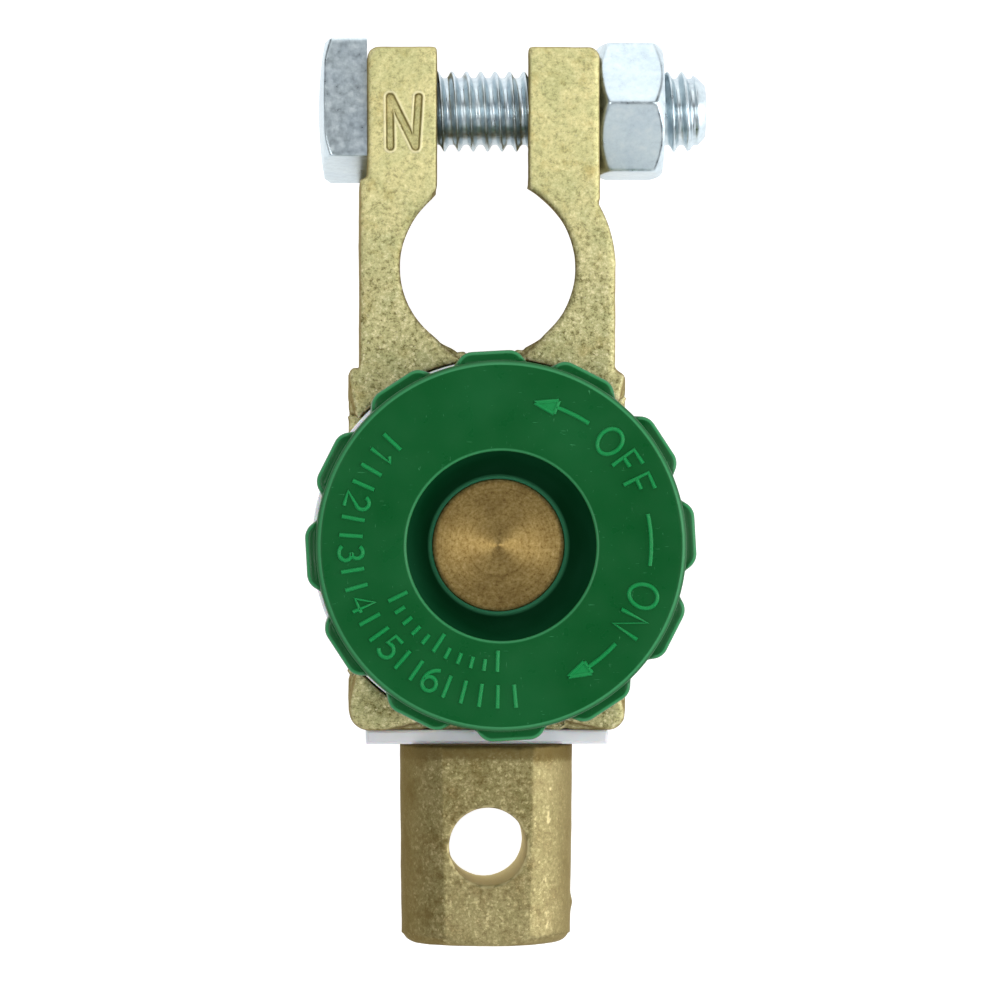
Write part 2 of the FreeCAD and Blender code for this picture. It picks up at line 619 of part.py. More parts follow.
def thrust_washer():
    """The thin washer between the disc and the knob's hub."""
    hole = "Size.thread_radius + Size.washer_play"
    return turned("thrust_washer", [
        (hole, DISC_TOP),
        ("Size.washer_radius", DISC_TOP),
        ("Size.washer_radius", KNOB_BOTTOM),
        (hole, KNOB_BOTTOM),
    ], "Size.knob_x", "-Size.knob_y")


def contact_seat():
    """The insert in the lower block, with a dimple that the stud's tip presses on."""
    return turned("contact_seat", [
        ("0", f"{SEAT_TOP} - Size.seat_thickness"),
        ("Size.seat_radius", f"{SEAT_TOP} - Size.seat_thickness"),
        ("Size.seat_radius", SEAT_TOP),
        ("Size.dimple_radius", SEAT_TOP),
        ("Size.dimple_radius - Size.dimple_depth", STUD_TIP),
        ("0", STUD_TIP),
    ], "Size.knob_x", "-Size.knob_y")


def retaining_ring():
    """The open ring in the stud's groove, which stops the knob under the arm."""
    tall = f"Size.ring_thickness + 2 * {OVER}"
    disc = primitive("Cylinder", "ring_blank", Radius="Size.ring_radius",
                     Height="Size.ring_thickness")
    middle = primitive("Cylinder", "ring_hole", Radius="Size.groove_radius + Size.run_play",
                       Height=tall)
    put(middle, height=f"-{OVER}")
    opening = primitive("Box", "ring_opening", Length=f"Size.ring_radius + {OVER}",
                        Width="Size.ring_gap", Height=tall)
    put(opening, along="-Size.ring_gap / 2", height=f"-{OVER}")
    cutter = combine("MultiFuse", "ring_cutter", [middle, opening])
    ring = combine("Cut", "retaining_ring", [disc, cutter])
    put(ring, "Size.knob_x", "-Size.knob_y", RING_BOTTOM)
    return ring


def contact_stud():
    """The brass stud: conical tip, ring groove, thread, hex flange and turned end."""
    name = "contact_stud"
    tip_play = "2 * Size.run_play"
    body = turned(name, [
        ("0", STUD_TIP),
        (f"Size.dimple_radius - Size.dimple_depth - {tip_play}", STUD_TIP),
        (f"Size.dimple_radius - {tip_play}", SEAT_TOP),
        ("Size.thread_radius - Size.thread_chamfer", f"{SEAT_TOP} + {tip_play}"),
        ("Size.thread_radius", f"{SEAT_TOP} + {tip_play} + Size.thread_chamfer"),
        ("Size.thread_radius", f"{RING_BOTTOM} - Size.run_play"),
        ("Size.groove_radius", f"{RING_BOTTOM} - Size.run_play"),
        ("Size.groove_radius", f"{RING_TOP} + Size.run_play"),
        ("Size.thread_radius", f"{RING_TOP} + Size.run_play"),
        ("Size.thread_radius", FLANGE_BOTTOM),
        ("Size.boss_radius", FLANGE_BOTTOM),
        ("Size.boss_radius", f"{FLANGE_TOP} + Size.boss_height"),
        ("0", f"{FLANGE_TOP} + Size.boss_height"),
    ], "Size.knob_x", "-Size.knob_y")
    flange = outline(body, "hex_outline", "XY_Plane", hexagon("Size.hex_across"),
                     ("0", "0", FLANGE_BOTTOM))
    pad(body, "hex_flange", flange, "Size.hex_thickness")
    turn_with_lobes(body)
    return body


def turn_with_lobes(body):
    """The knob and its stud are moulded together, so they are turned by one angle."""
    body.Placement.Rotation = FreeCAD.Rotation(FreeCAD.Vector(0, 0, 1), 1)
    body.setExpression("Placement.Rotation.Angle", "Size.lobe_turn")


def stud_seal():
    """The rubber ring round the stud under its hex flange."""
    seal = primitive("Torus", "stud_seal", Radius2="Size.seal_section / 2",
                     Radius1="Size.thread_radius + Size.run_play + Size.seal_section / 2")
    put(seal, "Size.knob_x", "-Size.knob_y",
        f"{KNOB_BOTTOM} + Size.run_play + Size.seal_section / 2")
    return seal


def knob():
    """The green knob: face, deep recess, hollow underside with ribs, and grip lobes."""
    floor_hole = "(Size.boss_radius + Size.mould_play)"
    floor = f"({FLANGE_TOP} + Size.floor_thickness)"
    web = f"({KNOB_TOP} - Size.knob_web)"
    inside = "(Size.knob_radius - Size.knob_wall)"
    body = turned("knob", [
        (floor_hole, KNOB_BOTTOM),
        ("Size.hub_radius - Size.mould_draft", KNOB_BOTTOM),
        ("Size.hub_radius", web),
        (f"{inside} - Size.mould_draft", web),
        (inside, KNOB_BOTTOM),
        ("Size.knob_radius", KNOB_BOTTOM),
        ("Size.knob_radius", f"{KNOB_TOP} - Size.knob_edge"),
        ("Size.knob_radius - Size.knob_edge", KNOB_TOP),
        ("Size.recess_radius + Size.knob_edge / 2", KNOB_TOP),
        ("Size.recess_radius", f"{KNOB_TOP} - Size.knob_edge / 2"),
        ("Size.recess_floor_radius", floor),
        (floor_hole, floor),
    ], "Size.knob_x", "-Size.knob_y")
    socket = outline(body, "hex_socket_outline", "XY_Plane",
                     hexagon("(Size.hex_across + 2 * Size.mould_play)"), ("0", "0", FLANGE_TOP))
    pocket(body, "hex_socket", socket, f"{FLANGE_TOP} - {KNOB_BOTTOM}")
    rib = outline(body, "rib_outline", "XY_Plane", [
        ("Size.hub_radius - Size.rib_sink", "-Size.rib_thickness / 2"),
        (f"{inside} + Size.rib_sink", "-Size.rib_thickness / 2"),
        (f"{inside} + Size.rib_sink", "Size.rib_thickness / 2"),
        ("Size.hub_radius - Size.rib_sink", "Size.rib_thickness / 2"),
    ], ("0", "0", f"{KNOB_BOTTOM} + Size.rib_setback"))
    first_rib = pad(body, "rib", rib, f"{web} - {KNOB_BOTTOM} - Size.rib_setback")
    around(body, "ribs", [first_rib], "Size.rib_count")
    base = "Size.lobe_base_angle * 1 deg"
    top_half = f"(Size.knob_radius * sin({base}) - Size.lobe_taper)"
    lobe = outline(body, "lobe_outline", "XY_Plane", [
        ("Size.knob_radius - Size.knob_wall / 2", f"-Size.knob_radius * sin({base})"),
        (f"Size.knob_radius * cos({base})", f"-Size.knob_radius * sin({base})"),
        (LOBE_REACH, f"-{top_half}"),
        (LOBE_REACH, top_half),
        (f"Size.knob_radius * cos({base})", f"Size.knob_radius * sin({base})"),
        ("Size.knob_radius - Size.knob_wall / 2", f"Size.knob_radius * sin({base})"),
    ], ("0", "0", KNOB_BOTTOM))
    first_lobe = pad(body, "lobe", lobe, "Size.knob_height - Size.lobe_setback")
    around(body, "lobes", [first_lobe], "Size.lobe_count")
    reach, tall = value(LOBE_REACH), value("Size.knob_height - Size.lobe_setback")
    soften(body, "Fillet", "lobe_corners", "Size.lobe_round", lambda edge: (
        upright(edge, tall - NEAR)
        and math.hypot(edge.CenterOfMass.x, edge.CenterOfMass.y) > reach
    ))
    lobe_top = value(f"{KNOB_TOP} - Size.lobe_setback")
    wall = value("Size.knob_radius")
    soften(body, "Fillet", "lobe_top_edges", LOBE_EDGE, lambda edge: (
        level(edge, lobe_top)
        and max(math.hypot(v.X, v.Y) for v in edge.Vertexes) > wall + NEAR
    ))
    turn_with_lobes(body)
    return body


def fixing_screws():
    """Four pan-head screws that hold the block to the arm from below."""
    screws = []
    for number, (x, y) in enumerate(screw_places(), start=1):
        screws.append(turned(f"fixing_screw_{number}", [
            ("0", "Size.screw_sink"),
            ("Size.screw_head_radius - Size.screw_head_round", "Size.screw_sink",
             "Size.screw_head_round", 1),
            ("Size.screw_head_radius", "Size.screw_sink + Size.screw_head_round"),
            ("Size.screw_head_radius", HEAD_SEAT),
            ("Size.screw_radius", HEAD_SEAT),
            ("Size.screw_radius", f"{SCREW_END} - Size.thread_chamfer"),
            ("Size.screw_radius - Size.thread_chamfer", SCREW_END),
            ("0", SCREW_END),
        ], x, y))
    return screws


def shoulder_bushes():
    """Four nylon bushes that keep the screws apart from the lower block."""
    hole = "Size.screw_radius + Size.screw_play"
    bushes = []
    for number, (x, y) in enumerate(screw_places(), start=1):
        bushes.append(turned(f"shoulder_bush_{number}", [
            (hole, HEAD_SEAT),
            ("Size.bush_flange_radius", HEAD_SEAT),
            ("Size.bush_flange_radius", FLANGE_SEAT),
            ("Size.bush_radius", FLANGE_SEAT),
            ("Size.bush_radius", ARM_BOTTOM),
            (hole, ARM_BOTTOM),
        ], x, y))
    return bushes


pieces = [
    clamp_body(), clamp_bolt(), clamp_nut(), cable_post(), insulator_plate(),
    insulator_disc(), thrust_washer(), contact_seat(), retaining_ring(),
    contact_stud(), stud_seal(), knob(), *fixing_screws(), *shoulder_bushes(),
]
doc.recompute()

for item in doc.Objects:
    if "Invalid" in item.State or "Error" in item.State:
        raise RuntimeError(f"{item.Label} failed: {item.State}")
for piece in pieces:
    if piece.Shape.isNull() or not piece.Shape.isValid() or len(piece.Shape.Solids) != 1:
        raise RuntimeError(f"{piece.Label} has no single valid solid")

os.makedirs("parts", exist_ok=True)
for piece in pieces:
    piece.Shape.exportStep(f"parts/{piece.Label}.step")
    print(f"{piece.Label}: {piece.Shape.Volume:.1f} mm3")
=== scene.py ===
import json
import math

import bmesh
import bpy
from mathutils import Matrix, Vector, noise

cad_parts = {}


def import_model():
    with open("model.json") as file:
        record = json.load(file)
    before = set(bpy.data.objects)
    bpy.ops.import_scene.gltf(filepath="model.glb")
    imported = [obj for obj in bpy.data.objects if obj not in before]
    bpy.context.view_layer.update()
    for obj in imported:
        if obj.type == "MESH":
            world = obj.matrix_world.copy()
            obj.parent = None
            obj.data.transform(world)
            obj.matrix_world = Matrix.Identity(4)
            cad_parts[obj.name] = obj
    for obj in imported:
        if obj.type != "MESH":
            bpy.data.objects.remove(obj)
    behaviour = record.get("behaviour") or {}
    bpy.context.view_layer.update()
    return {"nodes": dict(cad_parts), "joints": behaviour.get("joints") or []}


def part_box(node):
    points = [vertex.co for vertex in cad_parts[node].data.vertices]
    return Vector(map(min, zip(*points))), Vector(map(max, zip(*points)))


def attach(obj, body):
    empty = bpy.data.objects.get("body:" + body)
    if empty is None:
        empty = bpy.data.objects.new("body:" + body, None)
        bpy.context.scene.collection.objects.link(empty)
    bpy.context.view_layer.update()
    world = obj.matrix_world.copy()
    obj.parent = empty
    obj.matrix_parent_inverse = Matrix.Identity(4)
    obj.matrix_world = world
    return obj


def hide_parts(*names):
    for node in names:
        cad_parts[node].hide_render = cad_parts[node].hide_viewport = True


# Looks for the battery terminal quick disconnect. Sizes are in millimetres and are turned
# into metres by MM where a mesh is made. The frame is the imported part's own.

MM = 0.001
TAU = 2 * math.pi
DOUBLE = 0.001

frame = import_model()

JOINTS = {joint["name"]: joint for joint in frame["joints"]}
KNOB_AXIS = Vector(JOINTS["knob_turn"]["pos_m"]) / MM
NUT_SEAT = Vector(JOINTS["clamp_nut_turn"]["pos_m"]) / MM


def box(node):
    """Lowest and highest corner of a CAD node, in millimetres."""
    low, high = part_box(node)
    return low / MM, high / MM


# Heights and reaches read from the frame
KNOB_LOW, KNOB_HIGH = box("knob")
STUD_LOW, STUD_HIGH = box("contact_stud")
BODY_TOP = box("clamp_body")[1].z
POST_SIDE = box("cable_post")[1].x
BOLT_LOW, BOLT_HIGH = box("clamp_bolt")
NUT_LOW, NUT_HIGH = box("clamp_nut")


# Shared mesh tools

def smoothstep(low, high, x):
    """0 below low, 1 above high, and smooth between."""
    t = min(max((x - low) / (high - low), 0.0), 1.0)
    return t * t * (3 - 2 * t)


def link(name, data):
    made = bpy.data.objects.new(name, data)
    bpy.context.scene.collection.objects.link(made)
    return made


def link_mesh(bm, name):
    """A new object from a bmesh, which is freed."""
    mesh = bpy.data.meshes.new(name)
    bm.to_mesh(mesh)
    bm.free()
    return link(name, mesh)


def made_piece(bm, name, place, smooth=True):
    """A new object, put at its place, from a bmesh in millimetres."""
    bmesh.ops.scale(bm, vec=(MM, MM, MM), verts=bm.verts)
    bmesh.ops.recalc_face_normals(bm, faces=bm.faces)
    for face in bm.faces:
        face.smooth = smooth
    piece = link_mesh(bm, name)
    piece.matrix_world = place
    return piece


def join_rows(bm, rows, loop=False):
    """Faces between rows of points round an axis. A row of one point closes an end."""
    made = [[bm.verts.new(point) for point in row] for row in rows]
    pairs = list(zip(made, made[1:]))
    if loop:
        pairs.append((made[-1], made[0]))
    for low, high in pairs:
        count = max(len(low), len(high))
        for i in range(count):
            j = (i + 1) % count
            corners = (low[i % len(low)], low[j % len(low)],
                       high[j % len(high)], high[i % len(high)])
            bm.faces.new(list(dict.fromkeys(corners)))


def turned_piece(name, place, *shells, loop=False):
    """A piece of one or more shells, each given as rows of points round an axis."""
    bm = bmesh.new()
    for rows in shells:
        join_rows(bm, rows, loop)
    return made_piece(bm, name, place)


def ring(radius, height, angles):
    """A row of points at a height, with one radius or a radius for each angle."""
    radii = [radius(a) if callable(radius) else radius for a in angles]
    return [Vector((r * math.cos(a), r * math.sin(a), height)) for r, a in zip(radii, angles)]


def rings(profile, angles):
    """Rows of points from pairs of a radius and a height."""
    return [ring(radius, height, angles) for radius, height in profile]


def tip(height):
    """A row of one point on the axis."""
    return [Vector((0, 0, height))]


def even_angles(count):
    return [TAU * k / count for k in range(count)]


def moved(x, y, z):
    """A shift given in millimetres."""
    return Matrix.Translation(Vector((x, y, z)) * MM)


def evaluated_mesh(piece):
    """A smooth mesh of a piece, as its modifiers or its curve's bevel make it."""
    graph = bpy.context.evaluated_depsgraph_get()
    mesh = bpy.data.meshes.new_from_object(piece.evaluated_get(graph))
    for polygon in mesh.polygons:
        polygon.use_smooth = True
    return mesh


def baked(piece):
    """Apply a piece's modifiers and return it."""
    mesh = evaluated_mesh(piece)
    piece.modifiers.clear()
    piece.data = mesh
    return piece


def cad_copy(node, name):
    """A new object with a copy of a CAD node's mesh, its doubled points merged."""
    bm = bmesh.new()
    bm.from_mesh(frame["nodes"][node].data)
    bmesh.ops.remove_doubles(bm, verts=bm.verts, dist=DOUBLE * MM)
    return link_mesh(bm, name)


def painted_light(piece, share):
    """Keep a number of painted light or shade at each point of a piece, which its material lightens
    or darkens by.
    """
    layer = piece.data.attributes.new("painted_light", "FLOAT", "POINT")
    layer.data.foreach_set("value", [share(vertex.co / MM) for vertex in piece.data.vertices])


def dress(piece, body, slot, material, *stands_for):
    """Give a piece its material and its body, and hide the CAD nodes that it replaces; its slot is
    not used.
    """
    piece.data.materials.clear()
    piece.data.materials.append(material)
    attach(piece, body)
    if stands_for:
        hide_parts(*stands_for)
    return piece


# Materials

def linear(red, green, blue):
    """A colour from its 0 to 255 screen values."""
    def one(value):
        value /= 255
        return value / 12.92 if value <= 0.04045 else ((value + 0.055) / 1.055) ** 2.4
    return (one(red), one(green), one(blue), 1.0)


class Nodes:
    """Short names for the nodes of a material or a world that lead to its shader."""

    def __init__(self, tree, shader):
        self.tree = tree
        self.shader = tree.nodes[shader]
        self.coordinates = tree.nodes.new("ShaderNodeTexCoord").outputs

    def put(self, socket, value):
        """Link a socket to an output, or set it to a constant."""
        if isinstance(value, bpy.types.NodeSocket):
            self.tree.links.new(value, socket)
        else:
            socket.default_value = value

    def fill(self, node, values):
        """Put values in a node's sockets by name, with _ for a space."""
        for key, value in values.items():
            self.put(node.inputs[key.replace("_", " ")], value)
        return node

    def set(self, **values):
        """Put values in the shader's own sockets."""
        self.fill(self.shader, values)

    def node(self, kind, **values):
        return self.fill(self.tree.nodes.new("ShaderNode" + kind), values)

    def part(self, vector, axis):
        return self.node("SeparateXYZ", Vector=vector).outputs[axis]

    def ramp(self, factor, *stops):
        made = self.node("ValToRGB", Fac=factor)
        elements = made.color_ramp.elements
        while len(elements) < len(stops):
            elements.new(1.0)
        for element, (position, colour) in zip(elements, stops):
            element.position = position
            element.color = colour if len(colour) == 4 else (*colour, 1.0)
        return made.outputs["Color"]


class Look(Nodes):
    """A material under construction."""

    def __init__(self, name):
        self.material = bpy.data.materials.new(name)
        self.material.use_nodes = True
        super().__init__(self.material.node_tree, "Principled BSDF")
        self.place = self.coordinates["Object"]

    def stretched(self, x, y, z, turn=0.0):
        """The object's own place, stretched, and turned about Z by an angle."""
        return self.node("Mapping", Vector=self.place, Rotation=(0.0, 0.0, turn),
                         Scale=(x, y, z)).outputs["Vector"]

    def noise(self, size, detail=3.0, roughness=0.55, place=None, distortion=0.0):
        """Noise with features of a size in millimetres."""
        return self.node("TexNoise", Vector=place or self.place, Scale=1 / (size * MM),
                         Detail=detail, Roughness=roughness, Distortion=distortion).outputs["Fac"]

    def cells(self, size):
        """A random grey for each cell of a size in millimetres."""
        made = self.node("TexVoronoi", Vector=self.place, Scale=1 / (size * MM))
        return self.node("SeparateColor", Color=made.outputs["Color"]).outputs["Red"]

    def level(self, factor, low, high, bottom=0.0, top=1.0):
        """A number that goes from bottom to top as the factor goes from low to high."""
        return self.node("MapRange", Value=factor, From_Min=low, From_Max=high, To_Min=bottom,
                         To_Max=top).outputs["Result"]

    def mix(self, factor, first, second, blend="MIX"):
        made = self.tree.nodes.new("ShaderNodeMix")
        made.data_type = "RGBA"
        made.blend_type = blend
        self.put(made.inputs["Factor"], factor)
        colours = [socket for socket in made.inputs if socket.type == "RGBA"]
        for socket, colour in zip(colours, (first, second)):
            self.put(socket, colour)
        return next(socket for socket in made.outputs if socket.type == "RGBA")

    def toned(self, factor, ground, share, colour):
        """The ground, multiplied by a share of a colour where the factor is 1."""
        return self.mix(factor, ground, self.mix(share, ground, colour, "MULTIPLY"))

    def math(self, kind, first, second):
        made = self.tree.nodes.new("ShaderNodeMath")
        made.operation = kind
        for socket, value in zip(made.inputs, (first, second)):
            self.put(socket, value)
        return made.outputs["Value"]

    def times(self, first, second):
        return self.math("MULTIPLY", first, second)

    def painted_light_share(self, most):
        """0 to 1 as the painted light or shade kept at the points goes from 0 to most."""
        made = self.node("Attribute")
        made.attribute_name = "painted_light"
        return self.level(made.outputs["Fac"], 0.0, most)

    def edges(self, low, high):
        """0 on flat ground and 1 on outer edges, from the mesh's pointiness."""
        return self.level(self.node("NewGeometry").outputs["Pointiness"], low, high)

    def bumps(self, *layers):
        """Bumps on top of each other, each (height, depth in millimetres, strength)."""
        below = {}
        for height, depth, strength in layers:
            made = self.node("Bump", Height=height, Distance=depth * MM, Strength=strength, **below)
            below = {"Normal": made.outputs["Normal"]}
        self.set(**below)


# painted light: the paler colour that the casting is mixed towards at the ears
EAR_PAINTED_LIGHT = linear(242, 234, 172)


def cast_brass(name, dark, middle, light, tone, tarnish, tarnish_share, wall, roughness):
    """Sand-cast brass: soft fine grain, specks, painted glints, slow changes of tone, painted shade
    that browns the walls, painted edge highlights, and ears made paler by painted light.
    """
    look = Look(name)
    along = look.part(look.place, "Y")
    grain = look.noise(0.46, 6.0, 0.80)
    fleck = look.cells(0.20)
    ground = look.ramp(grain, (0.37, dark), (0.485, middle), (0.53, middle), (0.65, light))
    # the ears are smoother than the arm, and painted light makes the casting paler towards them
    coarse = look.level(along, 0.001, -0.010, 0.30, 1.0)
    pale = look.level(along, -0.002, 0.010, 0.0, 0.50)
    ground = look.mix(pale, ground, EAR_PAINTED_LIGHT)
    ground = look.mix(look.level(grain, 0.50, 0.34, 0.0, 0.35), ground, dark)
    # scratches, dark specks, and painted glints of bright light
    streak = look.noise(0.55, 2.0, 0.5, look.stretched(1.0, 9.0, 1.0, 0.45), 0.3)
    scratch = look.level(streak, 0.715, 0.745)
    ground = look.mix(look.times(scratch, 0.5), ground, light)
    speck = look.level(look.noise(0.30, 3.0, 0.65), 0.42, 0.30)
    ground = look.mix(look.times(look.times(speck, coarse), 0.60), ground, dark)
    painted_glint = look.times(look.level(fleck, 0.93, 0.98), coarse)
    ground = look.mix(look.times(painted_glint, 0.75), ground, light)
    # slow tone and tarnish, then painted shade on steep walls, painted highlights on edges, and the
    # painted light or shade kept at the points
    slow = look.level(look.noise(3.2, 4.0, 0.65, distortion=0.6), 0.42, 0.66)
    ground = look.toned(slow, ground, 0.42, tone)
    patch = look.level(look.noise(2.2, 5.0, 0.65), tarnish_share, tarnish_share + 0.20)
    ground = look.toned(patch, ground, 0.60, tarnish)
    # painted shade: steep walls are darkened towards the brown wall colour
    side = look.level(look.part(look.coordinates["Normal"], "Z"), 0.82, 0.35)
    ground = look.mix(look.times(side, 0.72), ground, wall)
    # painted highlight on the outer edges
    painted_edge_highlight = look.times(look.edges(0.53, 0.60), look.level(look.noise(0.8, 3.0), 0.45, 0.60))
    ground = look.mix(painted_edge_highlight, ground, light)
    # painted shade where the kept number is below zero, painted highlight where it is above
    ground = look.mix(look.painted_light_share(-1.0), ground, look.mix(0.80, ground, wall))
    ground = look.mix(look.painted_light_share(1.0), ground, light)
    look.set(Base_Color=ground, Metallic=0.75, Specular_Tint=(0.60, 0.52, 0.34, 1.0),
             Roughness=look.level(grain, 0.3, 0.7, roughness - 0.08, roughness + 0.10))
    look.bumps((look.noise(0.9, 3.0), 0.08, 0.6), (grain, 0.05, 0.85), (fleck, 0.012, 0.4),
               (scratch, 0.02, 0.7))
    return look.material


def zinc():
    """Zinc plate on steel: pale, faintly blue, with soft mottling."""
    look = Look("zinc_plate")
    mottle = look.noise(0.8, 4.0, 0.6)
    slow = look.level(look.noise(4.0, 2.0), 0.45, 0.75)
    ground = look.ramp(mottle, (0.3, linear(178, 191, 197)), (0.5, linear(196, 210, 216)),
                       (0.7, linear(214, 225, 229)))
    look.set(Base_Color=look.toned(slow, ground, 0.35, linear(206, 216, 232)), Metallic=1.0,
             Roughness=look.level(mottle, 0.3, 0.7, 0.26, 0.42))
    look.bumps((look.noise(0.5, 4.0), 0.02, 0.35), (look.noise(3.0, 2.0), 0.05, 0.3))
    return look.material


def green_plastic(name, base, wear_and_highlight, scuffs, sheen=0.16):
    """Moulded plastic: even colour, faint orange peel, fine scratches, dust, and painted highlights
    on the edges.
    """
    look = Look(name)
    slow = look.noise(9.0, 2.0)
    ground = look.mix(look.level(slow, 0.3, 0.7), base, look.mix(0.08, base, wear_and_highlight))
    dust = look.level(look.noise(0.55, 4.0, 0.7), 0.70, 0.80)
    ground = look.mix(look.times(dust, 0.30), ground, wear_and_highlight)
    layers = [(look.noise(1.4, 2.0), 0.02, 0.25)]
    for stretch in scuffs:
        streak = look.noise(0.9, 2.0, 0.5, look.stretched(*stretch), 0.4)
        mark = look.level(streak, 0.735, 0.775)
        ground = look.mix(look.times(mark, 0.55), ground, wear_and_highlight)
        layers.append((mark, 0.02, 0.6))
    # painted highlights on the edges that the kept number marks
    ground = look.mix(look.times(look.painted_light_share(1.0), 0.75), ground, wear_and_highlight)
    look.set(Base_Color=ground, IOR=1.46, Specular_IOR_Level=sheen,
             Roughness=look.level(look.noise(2.2, 3.0), 0.3, 0.7, 0.26, 0.36))
    look.bumps(*layers)
    return look.material


def nylon():
    """White moulded nylon, a little see-through at its edges."""
    look = Look("white_nylon")
    slow = look.noise(5.0, 3.0)
    ground = look.ramp(slow, (0.3, linear(226, 230, 236)), (0.7, linear(244, 246, 249)))
    look.set(Base_Color=ground, Roughness=0.42, IOR=1.53, Subsurface_Weight=0.25,
             Subsurface_Scale=0.6 * MM)
    look.bumps((look.noise(0.7, 3.0), 0.01, 0.4))
    return look.material


def turned_metal(name, base, light, dark, ring_size, roughness, anisotropy):
    """Lathe-turned metal: rings about the piece's own axis, and a fan of light."""
    look = Look(name)
    x, y, z = [look.part(look.place, axis) for axis in "XYZ"]
    squares = look.math("ADD", look.math("POWER", x, 2.0), look.math("POWER", y, 2.0))
    section = look.node("CombineXYZ", X=look.math("POWER", squares, 0.5), Y=z).outputs["Vector"]
    turning = look.noise(ring_size, 3.0, 0.7, section)
    grain = look.noise(0.34, 5.0, 0.75)
    blotch = look.level(look.noise(1.6, 4.0, 0.6), 0.40, 0.75)
    ground = look.ramp(look.mix(0.25, grain, turning), (0.34, dark), (0.5, base), (0.68, light))
    tangent = look.node("Tangent")
    tangent.direction_type = "RADIAL"
    tangent.axis = "Z"
    look.set(Base_Color=look.toned(blotch, ground, 0.35, dark), Metallic=1.0, Roughness=roughness,
             Anisotropic=anisotropy, Anisotropic_Rotation=0.25, Tangent=tangent.outputs["Tangent"])
    look.bumps((turning, 0.012, 0.4), (grain, 0.012, 0.5))
    return look.material


def plain_metal(name, base, light, roughness):
    look = Look(name)
    grain = look.noise(0.6, 4.0, 0.6)
    look.set(Base_Color=look.ramp(grain, (0.3, base), (0.7, light)), Metallic=1.0,
             Roughness=look.level(grain, 0.3, 0.7, roughness - 0.06, roughness + 0.08))
    look.bumps((grain, 0.01, 0.4))
    return look.material


def rubber():
    look = Look("seal_rubber")
    grain = look.noise(0.4, 3.0)
    look.set(Base_Color=look.ramp(grain, (0.3, linear(20, 20, 21)), (0.7, linear(38, 38, 40))),
             Roughness=0.7)
    look.bumps((grain, 0.01, 0.5))
    return look.material


# The last colour but one of each casting is its painted wall shade.
PALE_BRASS = cast_brass(
    "pale_cast_brass", linear(122, 114, 70), linear(202, 196, 144), linear(246, 238, 196),
    linear(208, 222, 214), linear(214, 196, 150), 0.54, linear(104, 80, 32), 0.58)
BROWN_BRASS = cast_brass(
    "brown_cast_brass", linear(116, 102, 64), linear(156, 146, 101), linear(212, 199, 150),
    linear(204, 210, 186), linear(176, 150, 108), 0.48, linear(100, 84, 46), 0.52)
ZINC = zinc()
GREEN = green_plastic("green_plastic", linear(3, 81, 33), linear(70, 160, 104),
                      [(1.0, 9.0, 1.0), (7.0, 1.2, 1.0)])
# painted shade: a darker copy with no sheen for the inside of the knob's recess
GREEN_SHADED = green_plastic("green_plastic_recess_painted_shade", linear(8, 58, 30), linear(70, 150, 110),
                             [], 0.0)
GREEN_RAISED = green_plastic("green_plastic_raised", linear(20, 134, 68), linear(80, 175, 120),
                             [(1.0, 6.0, 1.0)])
NYLON = nylon()
STUD_BRASS = turned_metal("turned_brass", linear(178, 151, 92), linear(206, 180, 122),
                          linear(128, 100, 58), 0.16, 0.44, 0.55)
CONTACT_BRASS = turned_metal("contact_brass", linear(206, 182, 118), linear(232, 214, 158),
                             linear(150, 124, 70), 0.25, 0.30, 0.5)
WASHER_STEEL = plain_metal("washer_steel", linear(158, 160, 162), linear(198, 200, 202), 0.32)
RUBBER = rubber()


# Castings: the CAD shape remeshed evenly, with the slight waviness of sand casting

CAST_VOXEL = 0.30


def cast_piece(node, name):
    piece = cad_copy(node, name)
    remesh = piece.modifiers.new("even", "REMESH")
    remesh.mode = "VOXEL"
    remesh.voxel_size = CAST_VOXEL * MM
    ease = piece.modifiers.new("ease", "SMOOTH")
    ease.factor = 0.5
    ease.iterations = 2
    return baked(piece)


def refine(mesh, cuts, wanted):
    """Divide the faces that a test of their middle and direction picks."""
    bm = bmesh.new()
    bm.from_mesh(mesh)
    faces = [face for face in bm.faces if wanted(face.calc_center_median() / MM, face.normal)]
    edges = list({edge for face in faces for edge in face.edges})
    bmesh.ops.subdivide_edges(bm, edges=edges, cuts=cuts, use_grid_fill=True)
    bm.to_mesh(mesh)
    bm.free()


def push(mesh, height):
    """Move each point along its normal by a height in millimetres, and none below the ground."""
    normals = [vertex.normal.copy() for vertex in mesh.vertices]
    for vertex, normal in zip(mesh.vertices, normals):
        vertex.co += normal * height(vertex.co / MM, normal) * MM
        vertex.co.z = max(vertex.co.z, 0.0)
    mesh.update()


def waviness(point):
    """The uneven skin of a casting, in millimetres."""
    return (0.055 * noise.noise(point / 5.0) + 0.030 * noise.noise(point / 1.7)
            + 0.014 * noise.noise(point / 0.7))


def distance_to_stroke(x, y, start, end):
    """Distance in plan from a point to a straight stroke."""
    (x0, y0), (x1, y1) = start, end
    length = (x1 - x0) ** 2 + (y1 - y0) ** 2
    t = min(max(((x - x0) * (x1 - x0) + (y - y0) * (y1 - y0)) / length, 0.0), 1.0)
    return math.hypot(x - x0 - t * (x1 - x0), y - y0 - t * (y1 - y0))


LETTER_STROKES = [
    ((-9.45, 11.65), (-9.50, 16.45)),
    ((-9.40, 16.45), (-7.05, 11.70)),
    ((-7.00, 11.65), (-6.70, 16.45)),
]
LETTER_HALF_STROKE = 0.31
LETTER_DEPTH = 0.34
LETTER_RIM = 0.10
LETTER_HALF_BEVEL = 0.11
LETTER_RIM_SHIFT = 0.20
LETTER_RIM_WIDTH = 0.12
